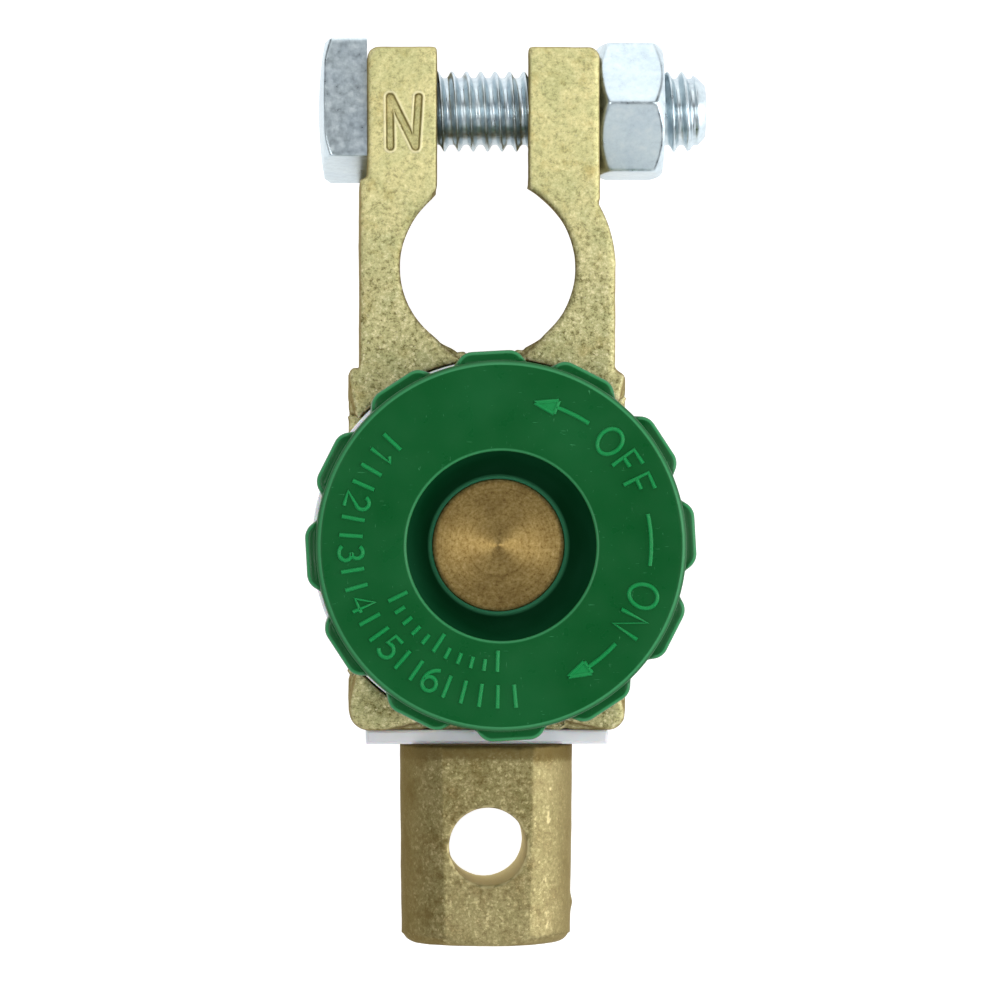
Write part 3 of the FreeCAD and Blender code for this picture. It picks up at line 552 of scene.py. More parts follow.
# painted highlight on the letter's rim and painted shade on its sunk floor
LETTER_PAINTED_LIGHT = (0.8, 0.12)
LETTER_X = (-10.7, -5.6)
LETTER_Y = (10.6, 17.6)


def bell(x, width):
    """1 at zero, and smoothly less away from it."""
    return math.exp(-(x / width) ** 2)


def letter_height(point):
    """The sunk pole letter on the left ear, with a slightly raised rim."""
    near = min(distance_to_stroke(point.x, point.y, *stroke) for stroke in LETTER_STROKES)
    floor = 1 - smoothstep(LETTER_HALF_STROKE - LETTER_HALF_BEVEL,
                           LETTER_HALF_STROKE + LETTER_HALF_BEVEL, near)
    rim = bell(near - LETTER_HALF_STROKE - LETTER_RIM_SHIFT, LETTER_RIM_WIDTH)
    return LETTER_RIM * rim - LETTER_DEPTH * floor


def by_the_letter(point, depth):
    """Whether a point is round the letter and no deeper under the clamp's top than a depth."""
    return (point.z > BODY_TOP - depth and LETTER_X[0] < point.x < LETTER_X[1]
            and LETTER_Y[0] < point.y < LETTER_Y[1])


# Painted light: a highlight on the letter's raised rim, and painted shade in its sunk strokes.
def letter_painted_light(point):
    if not by_the_letter(point, 0.9):
        return 0.0
    depth = letter_height(point)
    rim_highlight, floor_shade = LETTER_PAINTED_LIGHT
    return depth / LETTER_RIM * rim_highlight if depth > 0 else depth / LETTER_DEPTH * floor_shade


def move_points(mesh, place):
    """Put each point where a function of its place and normal says, in millimetres."""
    normals = [vertex.normal.copy() for vertex in mesh.vertices]
    for vertex, normal in zip(mesh.vertices, normals):
        vertex.co = place(vertex.co / MM, normal) * MM
    mesh.update()


STEEP = 0.6
NEAR = 0.14


def drawn_to(point, centre, radius):
    """A point that is near a circle in plan, put on it."""
    away = point.xy - centre.xy
    share = 1 - smoothstep(NEAR, 2.5 * NEAR, abs(away.length - radius))
    if share == 0:
        return point
    away *= 1 + share * (radius / away.length - 1)
    return Vector((centre.x + away.x, centre.y + away.y, point.z))


BORE_AXIS = Vector((0, 0))
BORE_LOW = 8.811
BORE_HIGH = 8.478
BORE_STRAIGHT = 9.0
POST_TAPER = 1 / 17
JAW_LEAN = 0.55
RING_OUTSIDE = 12.4
POCKET_RADIUS = 19.05
POCKET_WALL = 18.15
POCKET_FLOOR = 12.8
ARM_END = -44.9
ARM_UNDERSIDE = 8.2
RING_SEAT = 10.0
RING_CLEARANCE = 0.06
ARM_EDGE = 0.6
SHOULDER = Vector((-13.0, -10.4))
SHOULDER_RISE = 0.4
SHOULDER_WIDTH = 1.2
# how far from a moved wall the metal round it follows
BORE_BLEND = 1.6
POCKET_BLEND = 2.2
JAW_BLEND_X = (4.2, 7.5)
JAW_BLEND_Y = (6.5, 9.5)


def opened_bore(point, now):
    """The bore opens downwards as a battery post does, and the right jaw leans back."""
    below = BODY_TOP - point.z
    gap = point.xy.length - now
    if gap > -0.5:
        wider = BORE_HIGH + POST_TAPER * below - now
        point.xy *= 1 + wider * (1 - smoothstep(0.0, BORE_BLEND, gap)) / point.xy.length
    if point.x > 3:
        lean = smoothstep(*JAW_BLEND_Y, point.y) * (1 - smoothstep(*JAW_BLEND_X, point.x))
        point.x += JAW_LEAN * lean * below / BODY_TOP
    return point


def narrowed_pocket(point):
    """The pocket's wall stands close to the white disc."""
    away = (point - KNOB_AXIS).xy
    reach = away.length
    share = smoothstep(POCKET_FLOOR + 0.05, POCKET_FLOOR + 0.5, point.z)
    share *= 1 - smoothstep(POCKET_RADIUS, POCKET_RADIUS + POCKET_BLEND, reach)
    if share > 0 and reach > POCKET_WALL:
        away *= (reach - (POCKET_RADIUS - POCKET_WALL) * share) / reach
        point = Vector((KNOB_AXIS.x + away.x, KNOB_AXIS.y + away.y, point.z))
    return point


def clamp_place(point, normal):
    """The clamp's remeshed points on its true walls, with the photo's small differences."""
    taper = max(point.z - BORE_STRAIGHT, 0) / (BODY_TOP - BORE_STRAIGHT)
    now = BORE_LOW + (BORE_HIGH - BORE_LOW) * taper
    if abs(normal.z) < STEEP:
        point = drawn_to(point, BORE_AXIS, now)
        if point.x > 0 and point.y > 0:
            point = drawn_to(point, BORE_AXIS, RING_OUTSIDE)
        point = drawn_to(point, KNOB_AXIS, POCKET_RADIUS)
    point = narrowed_pocket(opened_bore(point, now))
    # a rounded edge at the arm's end
    near = min(max((ARM_END + ARM_EDGE - point.y) / ARM_EDGE, 0.0), 1.0)
    point.z = min(point.z, BODY_TOP - ARM_EDGE * (1 - math.sqrt(1 - near ** 2)))
    # the left shoulder a little further up
    side = 1 - smoothstep(SHOULDER.x, SHOULDER.x + 0.6, point.x)
    point.y += SHOULDER_RISE * side * bell(point.y - SHOULDER.y, SHOULDER_WIDTH)
    return point


def clamp_skin(point, normal):
    """The cast skin's height, with the letter, and flat where the retaining ring comes."""
    if abs(point.z - ARM_UNDERSIDE) < 0.4 and (point - KNOB_AXIS).xy.length < RING_SEAT:
        return -RING_CLEARANCE
    on_top = normal.z > 0.7 and point.z > BODY_TOP - 0.6
    return waviness(point) + (letter_height(point) if on_top else 0.0)


def clamp_body():
    piece = cast_piece("clamp_body", "clamp_casting")
    move_points(piece.data, clamp_place)
    refine(piece.data, 3, lambda point, normal: normal.z > 0.8 and by_the_letter(point, 0.3))
    push(piece.data, clamp_skin)
    painted_light(piece, letter_painted_light)
    return dress(piece, "terminal", "pale_brass", PALE_BRASS, "clamp_body")


RIDGE_X = 3.15
RIDGE_HEIGHT = 0.16
RIDGE_WIDTH = 0.32
BUMP_PLACE = Vector((8.1, -61.9, 8.8))
BUMP_HEIGHT = 0.2
BUMP_WIDTH = 0.6
POST_SKIN_SHIFT = Vector((40.0, 0.0, 0.0))
BARREL_Z = 8.5
BARREL_ROOT = -46.3
BARREL_END = -65.8
BARREL_WIDE = 8.45
BARREL_NARROW = 8.25
BARREL_FLAT = 15.72
CROSS_HOLE = Vector((0.0, -56.1))
CROSS_HOLE_RADIUS = 3.75
BLOCK_HALF = 11.5
BLOCK_CORNER = (-41.5, -44.6)
FLAT_HALF = 4.25
# painted light on the barrel's right side, painted shade on its left side and along the flat
SIDE_PAINTED_LIGHT = 0.17
SIDE_PAINTED_SHADE = 0.40
FLAT_PAINTED_SHADE = 0.12
FLAT_ENDS = (-50.0, -63.0)


def post_place(point, normal):
    """The lower casting's remeshed points on its true barrel and cross hole."""
    if point.y < BARREL_ROOT:
        if abs(normal.z) < STEEP:
            point = drawn_to(point, CROSS_HOLE, CROSS_HOLE_RADIUS)
        along = (point.y - BARREL_ROOT) / (BARREL_END - BARREL_ROOT)
        wanted = BARREL_WIDE + (BARREL_NARROW - BARREL_WIDE) * along
        across = Vector((point.x, point.z - BARREL_Z))
        if abs(across.length - wanted) < NEAR and point.z < BARREL_FLAT - 0.15:
            across *= wanted / across.length
            point = Vector((across.x, point.y, BARREL_Z + across.y))
        clear = (point.xy - CROSS_HOLE).length > CROSS_HOLE_RADIUS + 0.35
        if normal.z > 0.6 and clear and BARREL_END + 0.7 < point.y < BARREL_ROOT - 0.3:
            round_top = BARREL_Z + math.sqrt(max(wanted ** 2 - point.x ** 2, 0))
            crest = min(BARREL_FLAT, round_top)
            point.z = crest if abs(point.z - crest) < 0.3 else point.z
    elif point.y < BLOCK_CORNER[0]:
        limit = POST_SIDE + (BLOCK_HALF - POST_SIDE) * smoothstep(*BLOCK_CORNER, point.y)
        point.x = min(max(point.x, -limit), limit)
    return point


def post_skin(point, normal):
    """The cast skin's height, with a wandering ridge and a bump on the barrel."""
    raised = 0.0
    if point.y < BARREL_ROOT - 0.2 and normal.z > 0.3:
        line = RIDGE_X + 0.35 * noise.noise(Vector((point.y / 2.2, 3.1, 0.0)))
        strength = 0.6 + 0.8 * noise.noise(Vector((point.y / 1.5, 7.7, 0.0)))
        raised += RIDGE_HEIGHT * strength * bell(point.x - line, RIDGE_WIDTH)
    raised += BUMP_HEIGHT * bell((point - BUMP_PLACE).length, BUMP_WIDTH)
    return waviness(point + POST_SKIN_SHIFT) + raised


def post_painted_light(point):
    """Painted highlight in the drilled hole, painted shadow at the flange, painted light on the
    barrel's right side, and painted shade on its left side and on the flat towards the root.
    """
    if abs((point.xy - CROSS_HOLE).length - CROSS_HOLE_RADIUS) < 0.12:
        return 1.0
    # painted shadow under the flange, at the barrel's root
    root = smoothstep(BARREL_ROOT - 1.7, BARREL_ROOT - 1.1, point.y)
    left, right = [smoothstep(FLAT_HALF - 0.2, FLAT_HALF + 0.2, x) for x in (-point.x, point.x)]
    flat = (1 - left - right) * (2 * smoothstep(*FLAT_ENDS, point.y) - 1)
    shade = SIDE_PAINTED_LIGHT * right - SIDE_PAINTED_SHADE * left + FLAT_PAINTED_SHADE * flat
    return -root + (1 - root) * smoothstep(3.5, BARREL_Z, point.z) * shade


def cable_post():
    piece = cast_piece("cable_post", "cable_casting")
    move_points(piece.data, post_place)
    push(piece.data, post_skin)
    painted_light(piece, post_painted_light)
    return dress(piece, "terminal", "brown_brass", BROWN_BRASS, "cable_post")


# Screw threads

ROWS_PER_TURN = 14
CREST_SHARPNESS = 1.9


def thread_share(phase):
    """0 at the broad root and 1 at the narrow crest, over one pitch."""
    return ((1 + math.cos(TAU * phase)) / 2) ** CREST_SHARPNESS


def thread_rows(major, depth, pitch, start, end, angles, limit):
    """Rows of a threaded rod about Z; limit gives the largest radius at a height."""
    def row(height):
        def radius(angle):
            share = thread_share(height / pitch - angle / TAU)
            return min(major - depth * (1 - share), limit(height))
        return ring(radius, height, angles)

    steps = math.ceil((end - start) / pitch * ROWS_PER_TURN)
    return [row(start + (end - start) * k / steps) for k in range(steps + 1)]


# Square head and hex nut

def corner_angles(sides, per_side, turn):
    """Angles round a prism, close together near its corners."""
    half = math.pi / sides
    return [turn + 2 * half * side + half * math.sin((-1 + 2 * k / per_side) * math.pi / 2)
            for side in range(sides) for k in range(per_side)]


def prism_radius(sides, across, turn, sharpness=70):
    """Radius of a prism with slightly rounded corners, for an angle."""
    def radius(angle):
        total = 0.0
        for side in range(sides):
            facing = math.cos(angle - turn - TAU * side / sides)
            if facing > 0:
                total += facing ** sharpness
        return across / 2 / total ** (1 / sharpness)
    return radius


def softer_least(first, second, sharpness=60):
    """The smaller of two radii, rounded where they meet."""
    return (first ** -sharpness + second ** -sharpness) ** (-1 / sharpness)


CHAMFER_SLOPE = math.tan(math.radians(54))


def prism_rows(sides, across, height, turn, near_inset, far_inset, angles, slope=CHAMFER_SLOPE):
    """Side rows of a bolt head or a nut from its near face at 0 to its far face."""
    steps = [0.0, 0.02, 0.06, 0.12, 0.2, 0.3, 0.42, 0.56, 0.72, 0.9, 1.1, 1.35, 1.7, 2.1]
    levels = [z for z in steps if z < height / 2]
    levels += [height / 2] + [height - z for z in reversed(levels)]
    shape = prism_radius(sides, across, turn)

    def row(level):
        def radius(angle):
            size = shape(angle)
            for inset, inside in ((near_inset, level), (far_inset, height - level)):
                if inset is not None:
                    size = softer_least(size, across / 2 - inset + inside * slope)
            return size
        return ring(radius, level, angles)

    return [row(level) for level in levels]


def scaled_row(row, share, height):
    """A row drawn in towards the axis, at another height."""
    return [Vector((p.x * share, p.y * share, height)) for p in row]


BOLT_MAJOR = 3.95
BOLT_THREAD_DEPTH = 0.68
BOLT_PITCH = 1.41
HEAD_TURN = math.radians(10)
HEAD_ACROSS = 11.8
HEAD_THICKNESS = 4.7
HEAD_DOME = 0.42
HEAD_SLOPE = math.tan(math.radians(67))
NUT_ACROSS = 12.7
NUT_TURN = math.radians(3.5)
NUT_INSET = 0.25
NUT_BORE = BOLT_MAJOR + 0.05
NUT_MOUTH = 0.6
END_DROP = 1.4
END_LENGTH = 2.3
LAID = Matrix(((0, 0, 1), (0, 1, 0), (-1, 0, 0))).to_4x4()


def clamp_bolt():
    """The square-head bolt, made along Z and laid along X."""
    length = BOLT_HIGH.x - BOLT_LOW.x
    turn = math.pi / 2 - HEAD_TURN
    side = prism_rows(4, HEAD_ACROSS, HEAD_THICKNESS, turn, 0.1, None, corner_angles(4, 40, turn),
                      HEAD_SLOPE)
    head = [tip(0.0)]
    head += [scaled_row(side[0], share, HEAD_DOME * share ** 2)
             for share in (0.25, 0.5, 0.7, 0.85, 0.95, 0.985)]
    head.append(scaled_row(side[0], 1.0, HEAD_DOME * 1.03))
    head += [row for row in side[1:] if row[0].z > HEAD_DOME * 1.1]
    head += [scaled_row(side[-1], 0.97, HEAD_THICKNESS), tip(HEAD_THICKNESS)]

    def limit(height):
        return BOLT_MAJOR - END_DROP * max(1 - (length - height) / END_LENGTH, 0.0) ** 2

    start = HEAD_THICKNESS - 0.2
    thread = thread_rows(BOLT_MAJOR, BOLT_THREAD_DEPTH, BOLT_PITCH, start, length,
                         even_angles(72), limit)
    rod = [tip(start)] + thread + [scaled_row(thread[-1], 0.8, length), tip(length)]
    place = moved(BOLT_LOW.x, NUT_SEAT.y, NUT_SEAT.z) @ LAID
    piece = turned_piece("square_bolt", place, head, rod)
    return dress(piece, "terminal", "zinc_steel", ZINC, "clamp_bolt")


def clamp_nut():
    """The hex nut with chamfered faces and a threaded bore, laid along X."""
    thickness = NUT_HIGH.x - NUT_LOW.x
    turn = math.pi / 2 - NUT_TURN
    angles = corner_angles(6, 28, turn)
    side = prism_rows(6, NUT_ACROSS, thickness, turn, NUT_INSET, NUT_INSET, angles)
    rows = [ring(NUT_BORE + NUT_MOUTH, 0.0, angles)]
    rows += [scaled_row(side[0], share, 0.0) for share in (0.85, 0.985)]
    rows += side
    rows += [scaled_row(side[-1], share, thickness) for share in (0.985, 0.85)]
    rows += rings([(NUT_BORE + NUT_MOUTH, thickness), (NUT_BORE, thickness - NUT_MOUTH),
                   (NUT_BORE, NUT_MOUTH)], angles)
    piece = turned_piece("hex_nut", moved(*NUT_SEAT) @ LAID, rows, loop=True)
    return dress(piece, "clamp_nut", "zinc_steel", ZINC, "clamp_nut")


# Knob, about its own axis with its underside at zero

LOBES = 12
LOBE_TURN = math.radians(3.2)
LOBE_BASE = math.radians(11.3)
LOBE_HALF = 2.55
LOBE_ROUND = 1.6
LOBE_EDGE = 0.5
HEX_TURN = LOBE_TURN + math.pi / 6
SOCKET_ACROSS = 15.04
VALLEY = 17.55
LOBE_REACH = 18.5
KNOB_TALL = KNOB_HIGH.z - KNOB_LOW.z
LOBE_TALL = KNOB_TALL - 1.5
RECESS_RIM = 8.98
RECESS_FLOOR = 6.62
FLOOR_HEIGHT = 3.3
SOCKET_HEIGHT = 2.7
FLOOR_HOLE = 6.38
WEB_HEIGHT = KNOB_TALL - 2.4
SKIRT_INSIDE = 15.6
HUB_OUTSIDE = 11.0
RIBS = 6
RIB_THICKNESS = 1.2
RIB_SUNK = 0.4
RIB_LOW = 1.5


def lobe_offset(angle):
    """The angle to the nearest lobe's middle."""
    period = TAU / LOBES
    return abs((angle - LOBE_TURN + period / 2) % period - period / 2)


def lobe_reach(offset, drop):
    """Radius of a lobe's own outline, its flat and its slanting side joined by a round corner."""
    base = Vector((VALLEY * math.cos(LOBE_BASE), VALLEY * math.sin(LOBE_BASE)))
    corner = Vector((LOBE_REACH, LOBE_HALF))
    along = (base - corner).normalized()
    outward = Vector((along.y, -along.x))
    ray = Vector((math.cos(offset), math.sin(offset)))
    flat = (LOBE_REACH - drop) / ray.x
    side = (corner.dot(outward) - drop) / ray.dot(outward)
    # the round corner's centre is a radius inside both lines
    turn = math.acos(outward.x)
    centre = corner - Vector((LOBE_ROUND, LOBE_ROUND * math.tan(turn / 2)))
    size = max(LOBE_ROUND - drop, 0.05)
    middle = ray.dot(centre)
    rest = size ** 2 - (centre.length_squared - middle ** 2)
    sharp = min(flat, side)
    if rest <= 0:
        return sharp
    reach = middle + math.sqrt(rest)
    touch = ray * reach - centre
    return reach if 0 < math.atan2(touch.y, touch.x) < turn else sharp


def soft_most(first, second, width):
    """The larger of two numbers, blended where they are close."""
    return (first + second + math.sqrt((first - second) ** 2 + width ** 2)) / 2


def knob_wall(drop=0.0):
    """Radius of the lobed wall, its lobes drawn in by a drop."""
    def radius(angle):
        return soft_most(VALLEY - 0.02, lobe_reach(lobe_offset(angle), drop), 0.12)
    return radius


def knob_rows(angles):
    """The closed section of the knob, from the hole in its floor round and back."""
    socket = prism_radius(6, SOCKET_ACROSS, HEX_TURN)
    inside = [
        (FLOOR_HOLE, SOCKET_HEIGHT), (socket, SOCKET_HEIGHT), (socket, 0.0),
        (HUB_OUTSIDE - 0.4, 0.0), (HUB_OUTSIDE - 0.2, 0.2), (HUB_OUTSIDE, WEB_HEIGHT - 0.3),
        (HUB_OUTSIDE + 0.3, WEB_HEIGHT), (SKIRT_INSIDE - 0.5, WEB_HEIGHT),
        (SKIRT_INSIDE - 0.2, WEB_HEIGHT - 0.3), (SKIRT_INSIDE, 0.2), (SKIRT_INSIDE + 0.15, 0.0),
    ]
    turns = [math.pi / 2 * k / 6 for k in range(7)]
    wall = [(0.30, 0.0), (0.12, 0.05), (0.03, 0.14), (0.0, 0.3), (0.0, 3.0), (0.0, LOBE_TALL - 2.0)]
    wall += [(LOBE_EDGE * (1 - math.cos(turn)), LOBE_TALL - LOBE_EDGE + LOBE_EDGE * math.sin(turn))
             for turn in turns]
    wall += [(LOBE_EDGE + 0.12, LOBE_TALL + 0.01), (LOBE_EDGE + 0.35, LOBE_TALL + 0.02)]
    step = [(VALLEY + 0.06, LOBE_TALL + 0.05), (VALLEY, LOBE_TALL + 0.16)]
    # each with its drop below the face
    face = [
        (VALLEY, 0.60), (VALLEY, 0.47), (VALLEY - 0.03, 0.39), (VALLEY - 0.08, 0.32),
        (VALLEY - 0.33, 0.07), (VALLEY - 0.39, 0.02), (VALLEY - 0.48, 0.0), (VALLEY - 0.7, 0.0),
        (14.5, 0.0), (12.0, 0.0), (RECESS_RIM + 0.6, 0.0), (RECESS_RIM + 0.3, 0.0),
        (RECESS_RIM + 0.16, 0.02), (RECESS_RIM + 0.05, 0.09), (RECESS_RIM - 0.01, 0.22),
        (RECESS_RIM - 0.06, 0.45),
    ]
    floor = [
        (RECESS_FLOOR + 0.25, FLOOR_HEIGHT + 0.9), (RECESS_FLOOR + 0.03, FLOOR_HEIGHT + 0.12),
        (RECESS_FLOOR - 0.04, FLOOR_HEIGHT), (FLOOR_HOLE + 0.06, FLOOR_HEIGHT),
        (FLOOR_HOLE, FLOOR_HEIGHT - 0.08),
    ]
    profile = inside + [(knob_wall(inset), height) for inset, height in wall] + step
    profile += [(radius, KNOB_TALL - below) for radius, below in face] + floor
    return rings(profile, angles)


def add_rib(bm, angle):
    """One rib between the hub and the skirt, its ends inside both."""
    made = bmesh.ops.create_cube(bm, size=1.0)["verts"]
    long = SKIRT_INSIDE - HUB_OUTSIDE + 2 * RIB_SUNK
    tall = WEB_HEIGHT - 1.3
    size = Matrix.Diagonal((long, RIB_THICKNESS, tall, 1.0))
    shift = Matrix.Translation((HUB_OUTSIDE - RIB_SUNK + long / 2, 0, RIB_LOW + tall / 2))
    bmesh.ops.transform(bm, matrix=Matrix.Rotation(angle, 4, "Z") @ shift @ size, verts=made)


def on_knob_axis(height):
    return moved(KNOB_AXIS.x, KNOB_AXIS.y, height)


def knob():
    bm = bmesh.new()
    join_rows(bm, knob_rows(even_angles(LOBES * 48)), loop=True)
    for k in range(RIBS):
        add_rib(bm, LOBE_TURN + TAU * k / RIBS)
    piece = made_piece(bm, "lobed_knob", on_knob_axis(KNOB_LOW.z))
    painted_light(piece, knob_edge_highlights)
    dress(piece, "knob", "green_plastic", GREEN, "knob")
    # the recess inside the rim takes the painted shade copy
    piece.data.materials.append(GREEN_SHADED)
    for polygon in piece.data.polygons:
        middle = polygon.center / MM
        inside = math.hypot(middle.x, middle.y) < RECESS_RIM - 0.02
        polygon.material_index = int(inside and middle.z > SOCKET_HEIGHT + 0.1)
    return piece


def knob_edge_highlights(point):
    """1 on the thin lines where the knob's edges are painted paler, as painted highlights."""
    reach = math.hypot(point.x, point.y)
    if point.z > KNOB_TALL - 0.1 and VALLEY - 0.42 < reach < VALLEY - 0.25:
        return 0.8
    if point.z > KNOB_TALL - 0.2 and abs(reach - RECESS_RIM - 0.08) < 0.14:
        return 0.7
    if LOBE_TALL - 0.4 < point.z < LOBE_TALL + 0.03 and reach > VALLEY + 0.25:
        outward = lobe_reach(lobe_offset(math.atan2(point.y, point.x)), 0.0)
        return 0.7 if 0.05 < outward - reach < 0.36 else 0.0
    if abs(point.z - FLOOR_HEIGHT) < 0.15 and reach < RECESS_FLOOR + 0.1:
        return 0.9
    return 0.0


# Raised marks on the knob's face, drawn with round strokes

def arc(x, y, across, tall, start, end, count=12):
    """Points of an elliptical arc, its angles in degrees."""
    turns = [math.radians(start + (end - start) * k / count) for k in range(count + 1)]
    return [(x + across * math.cos(turn), y + tall * math.sin(turn)) for turn in turns]


# Strokes of each character in a cell 0.6 wide and 1 tall
GLYPHS = {
    "O": [arc(0.30, 0.5, 0.40, 0.5, 90, 450, 28)],
    "F": [[(0.04, 0.0), (0.04, 1.0), (0.60, 1.0)], [(0.04, 0.52), (0.46, 0.52)]],
    "N": [[(0.0, 0.0), (0.0, 1.0), (0.62, 0.0), (0.62, 1.0)]],
    "1": [[(0.12, 0.80), (0.32, 1.0), (0.32, 0.0)]],
    "2": [arc(0.3, 0.72, 0.28, 0.28, 165, -30) + [(0.02, 0.0), (0.60, 0.0)]],
    "3": [arc(0.28, 0.75, 0.27, 0.25, 150, -90), arc(0.28, 0.27, 0.31, 0.27, 90, -150)],
    "4": [[(0.46, 0.0), (0.46, 1.0), (0.0, 0.30), (0.62, 0.30)]],
    "5": [[(0.55, 1.0), (0.10, 1.0), (0.06, 0.56)] + arc(0.27, 0.31, 0.31, 0.31, 110, -145, 14)],
    "6": [arc(0.31, 0.30, 0.29, 0.30, 90, 450, 20), arc(0.62, 0.42, 0.60, 0.58, 100, 185, 10)],
}
STROKE = 0.20
MARK_RADIUS = 14.2
SCALE_RADIUS = 14.25


def on_face(angle, radius):
    """A point of the knob's face from an angle in degrees and a radius."""
    turn = math.radians(angle)
    return radius * math.cos(turn), radius * math.sin(turn)


def glyph_on_arc(character, angle, radius, tall, side):
    """A character's strokes bent round the knob, its top outward for 1 and inward for -1."""
    def bent(across, along):
        shift = math.degrees((across - 0.3) * tall / radius)
        return on_face(angle - side * shift, radius + side * (along - 0.5) * tall)

    return [[bent(*point) for point in stroke] for stroke in GLYPHS[character]]


# Angles of each arrow's tail, neck and point
ARROWS = ((-40.6, -54.6, -63.0), (54.5, 68.4, 77.0))
ARROW_HALF = 0.66


def arrow_corners(neck, point):
    """The two barbs and the point of an arrow head, from their angles."""
    return [on_face(neck, 14.1 + ARROW_HALF), on_face(neck, 14.1 - ARROW_HALF),
            on_face(point, 13.9)]


def face_strokes():
    """All the raised strokes: on and off, the mark between, and a numbered scale."""
    strokes = []
    for character, angle, tall in (("O", 43.9, 2.65), ("F", 33.3, 2.55), ("F", 23.8, 2.6),
                                   ("O", -19.5, 2.75), ("N", -31.2, 2.75)):
        strokes += glyph_on_arc(character, angle, MARK_RADIUS, tall, 1)
    strokes.append([on_face(12.3 - 20.0 * k / 10, 14.15) for k in range(11)])
    for tail, neck, point in ARROWS:
        strokes.append([on_face(tail + (neck - tail) * k / 6, MARK_RADIUS - 0.02 * k)
                        for k in range(7)])
        corners = arrow_corners(neck, point)
        strokes += [[corners[k - 1], corners[k]] for k in range(3)]
    # scale on the left: numbers with ticks between them, and a short row further in
    numbers = "123456"
    for k in range(22):
        angle = 136.5 + 6.6 * k
        if k % 3 == 1 and k // 3 < len(numbers):
            strokes += glyph_on_arc(numbers[k // 3], angle, SCALE_RADIUS, 2.25, -1)
        else:
            strokes.append([on_face(angle, SCALE_RADIUS + reach) for reach in (-1.1, 1.1)])
    for k in range(11):
        angle = 206 + 6.2 * k
        long = 2.0 if k % 5 == 0 else 1.1
        strokes.append([on_face(angle, 11.9 - long), on_face(angle, 11.9)])
    return strokes


def raised_strokes():
    curve = bpy.data.curves.new("raised_marks", "CURVE")
    curve.dimensions = "3D"
    curve.bevel_depth = STROKE * MM
    curve.bevel_resolution = 3
    curve.use_fill_caps = True
    for stroke in face_strokes():
        closed = math.dist(stroke[0], stroke[-1]) < 1e-6
        points = stroke[:-1] if closed else stroke
        spline = curve.splines.new("POLY")
        spline.points.add(len(points) - 1)
        spline.use_cyclic_u = closed
        for point, (x, y) in zip(spline.points, points):
            point.co = (x * MM, y * MM, KNOB_TALL * MM, 1.0)
    drawn = link("raised_marks_drawn", curve)
    piece = link("raised_marks", evaluated_mesh(drawn))
    bpy.data.objects.remove(drawn)
    piece.matrix_world = on_knob_axis(KNOB_LOW.z)
    return dress(piece, "knob", "green_plastic", GREEN_RAISED)


def arrow_heads():
    """The two arrow heads' inside, a little lower than their outline."""
    bm = bmesh.new()
    for _tail, neck, point in ARROWS:
        corners = arrow_corners(neck, point)
        low, high = [[bm.verts.new((x, y, z)) for x, y in corners]
                     for z in (KNOB_TALL - 0.1, KNOB_TALL + 0.4 * STROKE)]
        bm.faces.new(high)
        bm.faces.new(low)
        for i in range(3):
            j = (i + 1) % 3
            bm.faces.new((low[i], low[j], high[j], high[i]))
    piece = made_piece(bm, "arrow_heads", on_knob_axis(KNOB_LOW.z), smooth=False)
    return dress(piece, "knob", "green_plastic", GREEN_RAISED)


# Stud: thread below, and the turned end that shows in the recess

STUD_THREAD = 5.95
STUD_THREAD_DEPTH = 0.9
STUD_PITCH = 1.75
STUD_THREAD_LOW = 4.1
STUD_GROOVE = (4.95, 6.05)
STUD_GROOVE_RADIUS = 4.6
FLANGE_LOW = 17.0
FLANGE_HIGH = 18.6
FLANGE_ACROSS = 15.0
TURNED_END = 6.36
TURNED_RINGS = 22
TURNED_DIP = 0.012


def contact_stud():
    low, high = STUD_LOW.z, STUD_HIGH.z

    def limit(height):
        if STUD_GROOVE[0] < height < STUD_GROOVE[1]:
            return STUD_GROOVE_RADIUS
        return min(STUD_THREAD, STUD_THREAD - 0.4 + max(height - STUD_THREAD_LOW, 0.0))

    angles = even_angles(96)
    hexagon = prism_radius(6, FLANGE_ACROSS, HEX_TURN)
    rows = [tip(low)] + rings([(1.88, low), (3.1, 4.0)], angles)
    rows += thread_rows(STUD_THREAD, STUD_THREAD_DEPTH, STUD_PITCH, STUD_THREAD_LOW, FLANGE_LOW,
                        angles, limit)
    rows += rings([(hexagon, FLANGE_LOW), (hexagon, FLANGE_HIGH), (TURNED_END, FLANGE_HIGH),
                   (TURNED_END, high - 0.12), (TURNED_END - 0.03, high - 0.04),
                   (TURNED_END - 0.10, high)], angles)
    for k in range(TURNED_RINGS):
        radius = (TURNED_END - 0.35) * (1 - (k + 0.5) / (TURNED_RINGS + 1))
        rows.append(ring(radius, high - TURNED_DIP * (k % 2), angles))
    rows += rings([(0.32, high - 0.01), (0.2, high - 0.09)], angles) + [tip(high - 0.13)]
    piece = turned_piece("turned_stud", on_knob_axis(0.0), rows)
    return dress(piece, "knob", "turned_brass", STUD_BRASS, "contact_stud")


# White insulators, with softened edges

DISC_HOLE = 6.3
DISC_REACH = POCKET_WALL - 0.2
PLATE_EDGE = 0.14


def insulator_plate():
    piece = cad_copy("insulator_plate", "moulded_plate")
    bevel = piece.modifiers.new("edges", "BEVEL")
    bevel.width = PLATE_EDGE * MM
    bevel.segments = 3
    bevel.limit_method = "ANGLE"
    bevel.angle_limit = math.radians(30)
    return dress(baked(piece), "terminal", "white_nylon", NYLON, "insulator_plate")


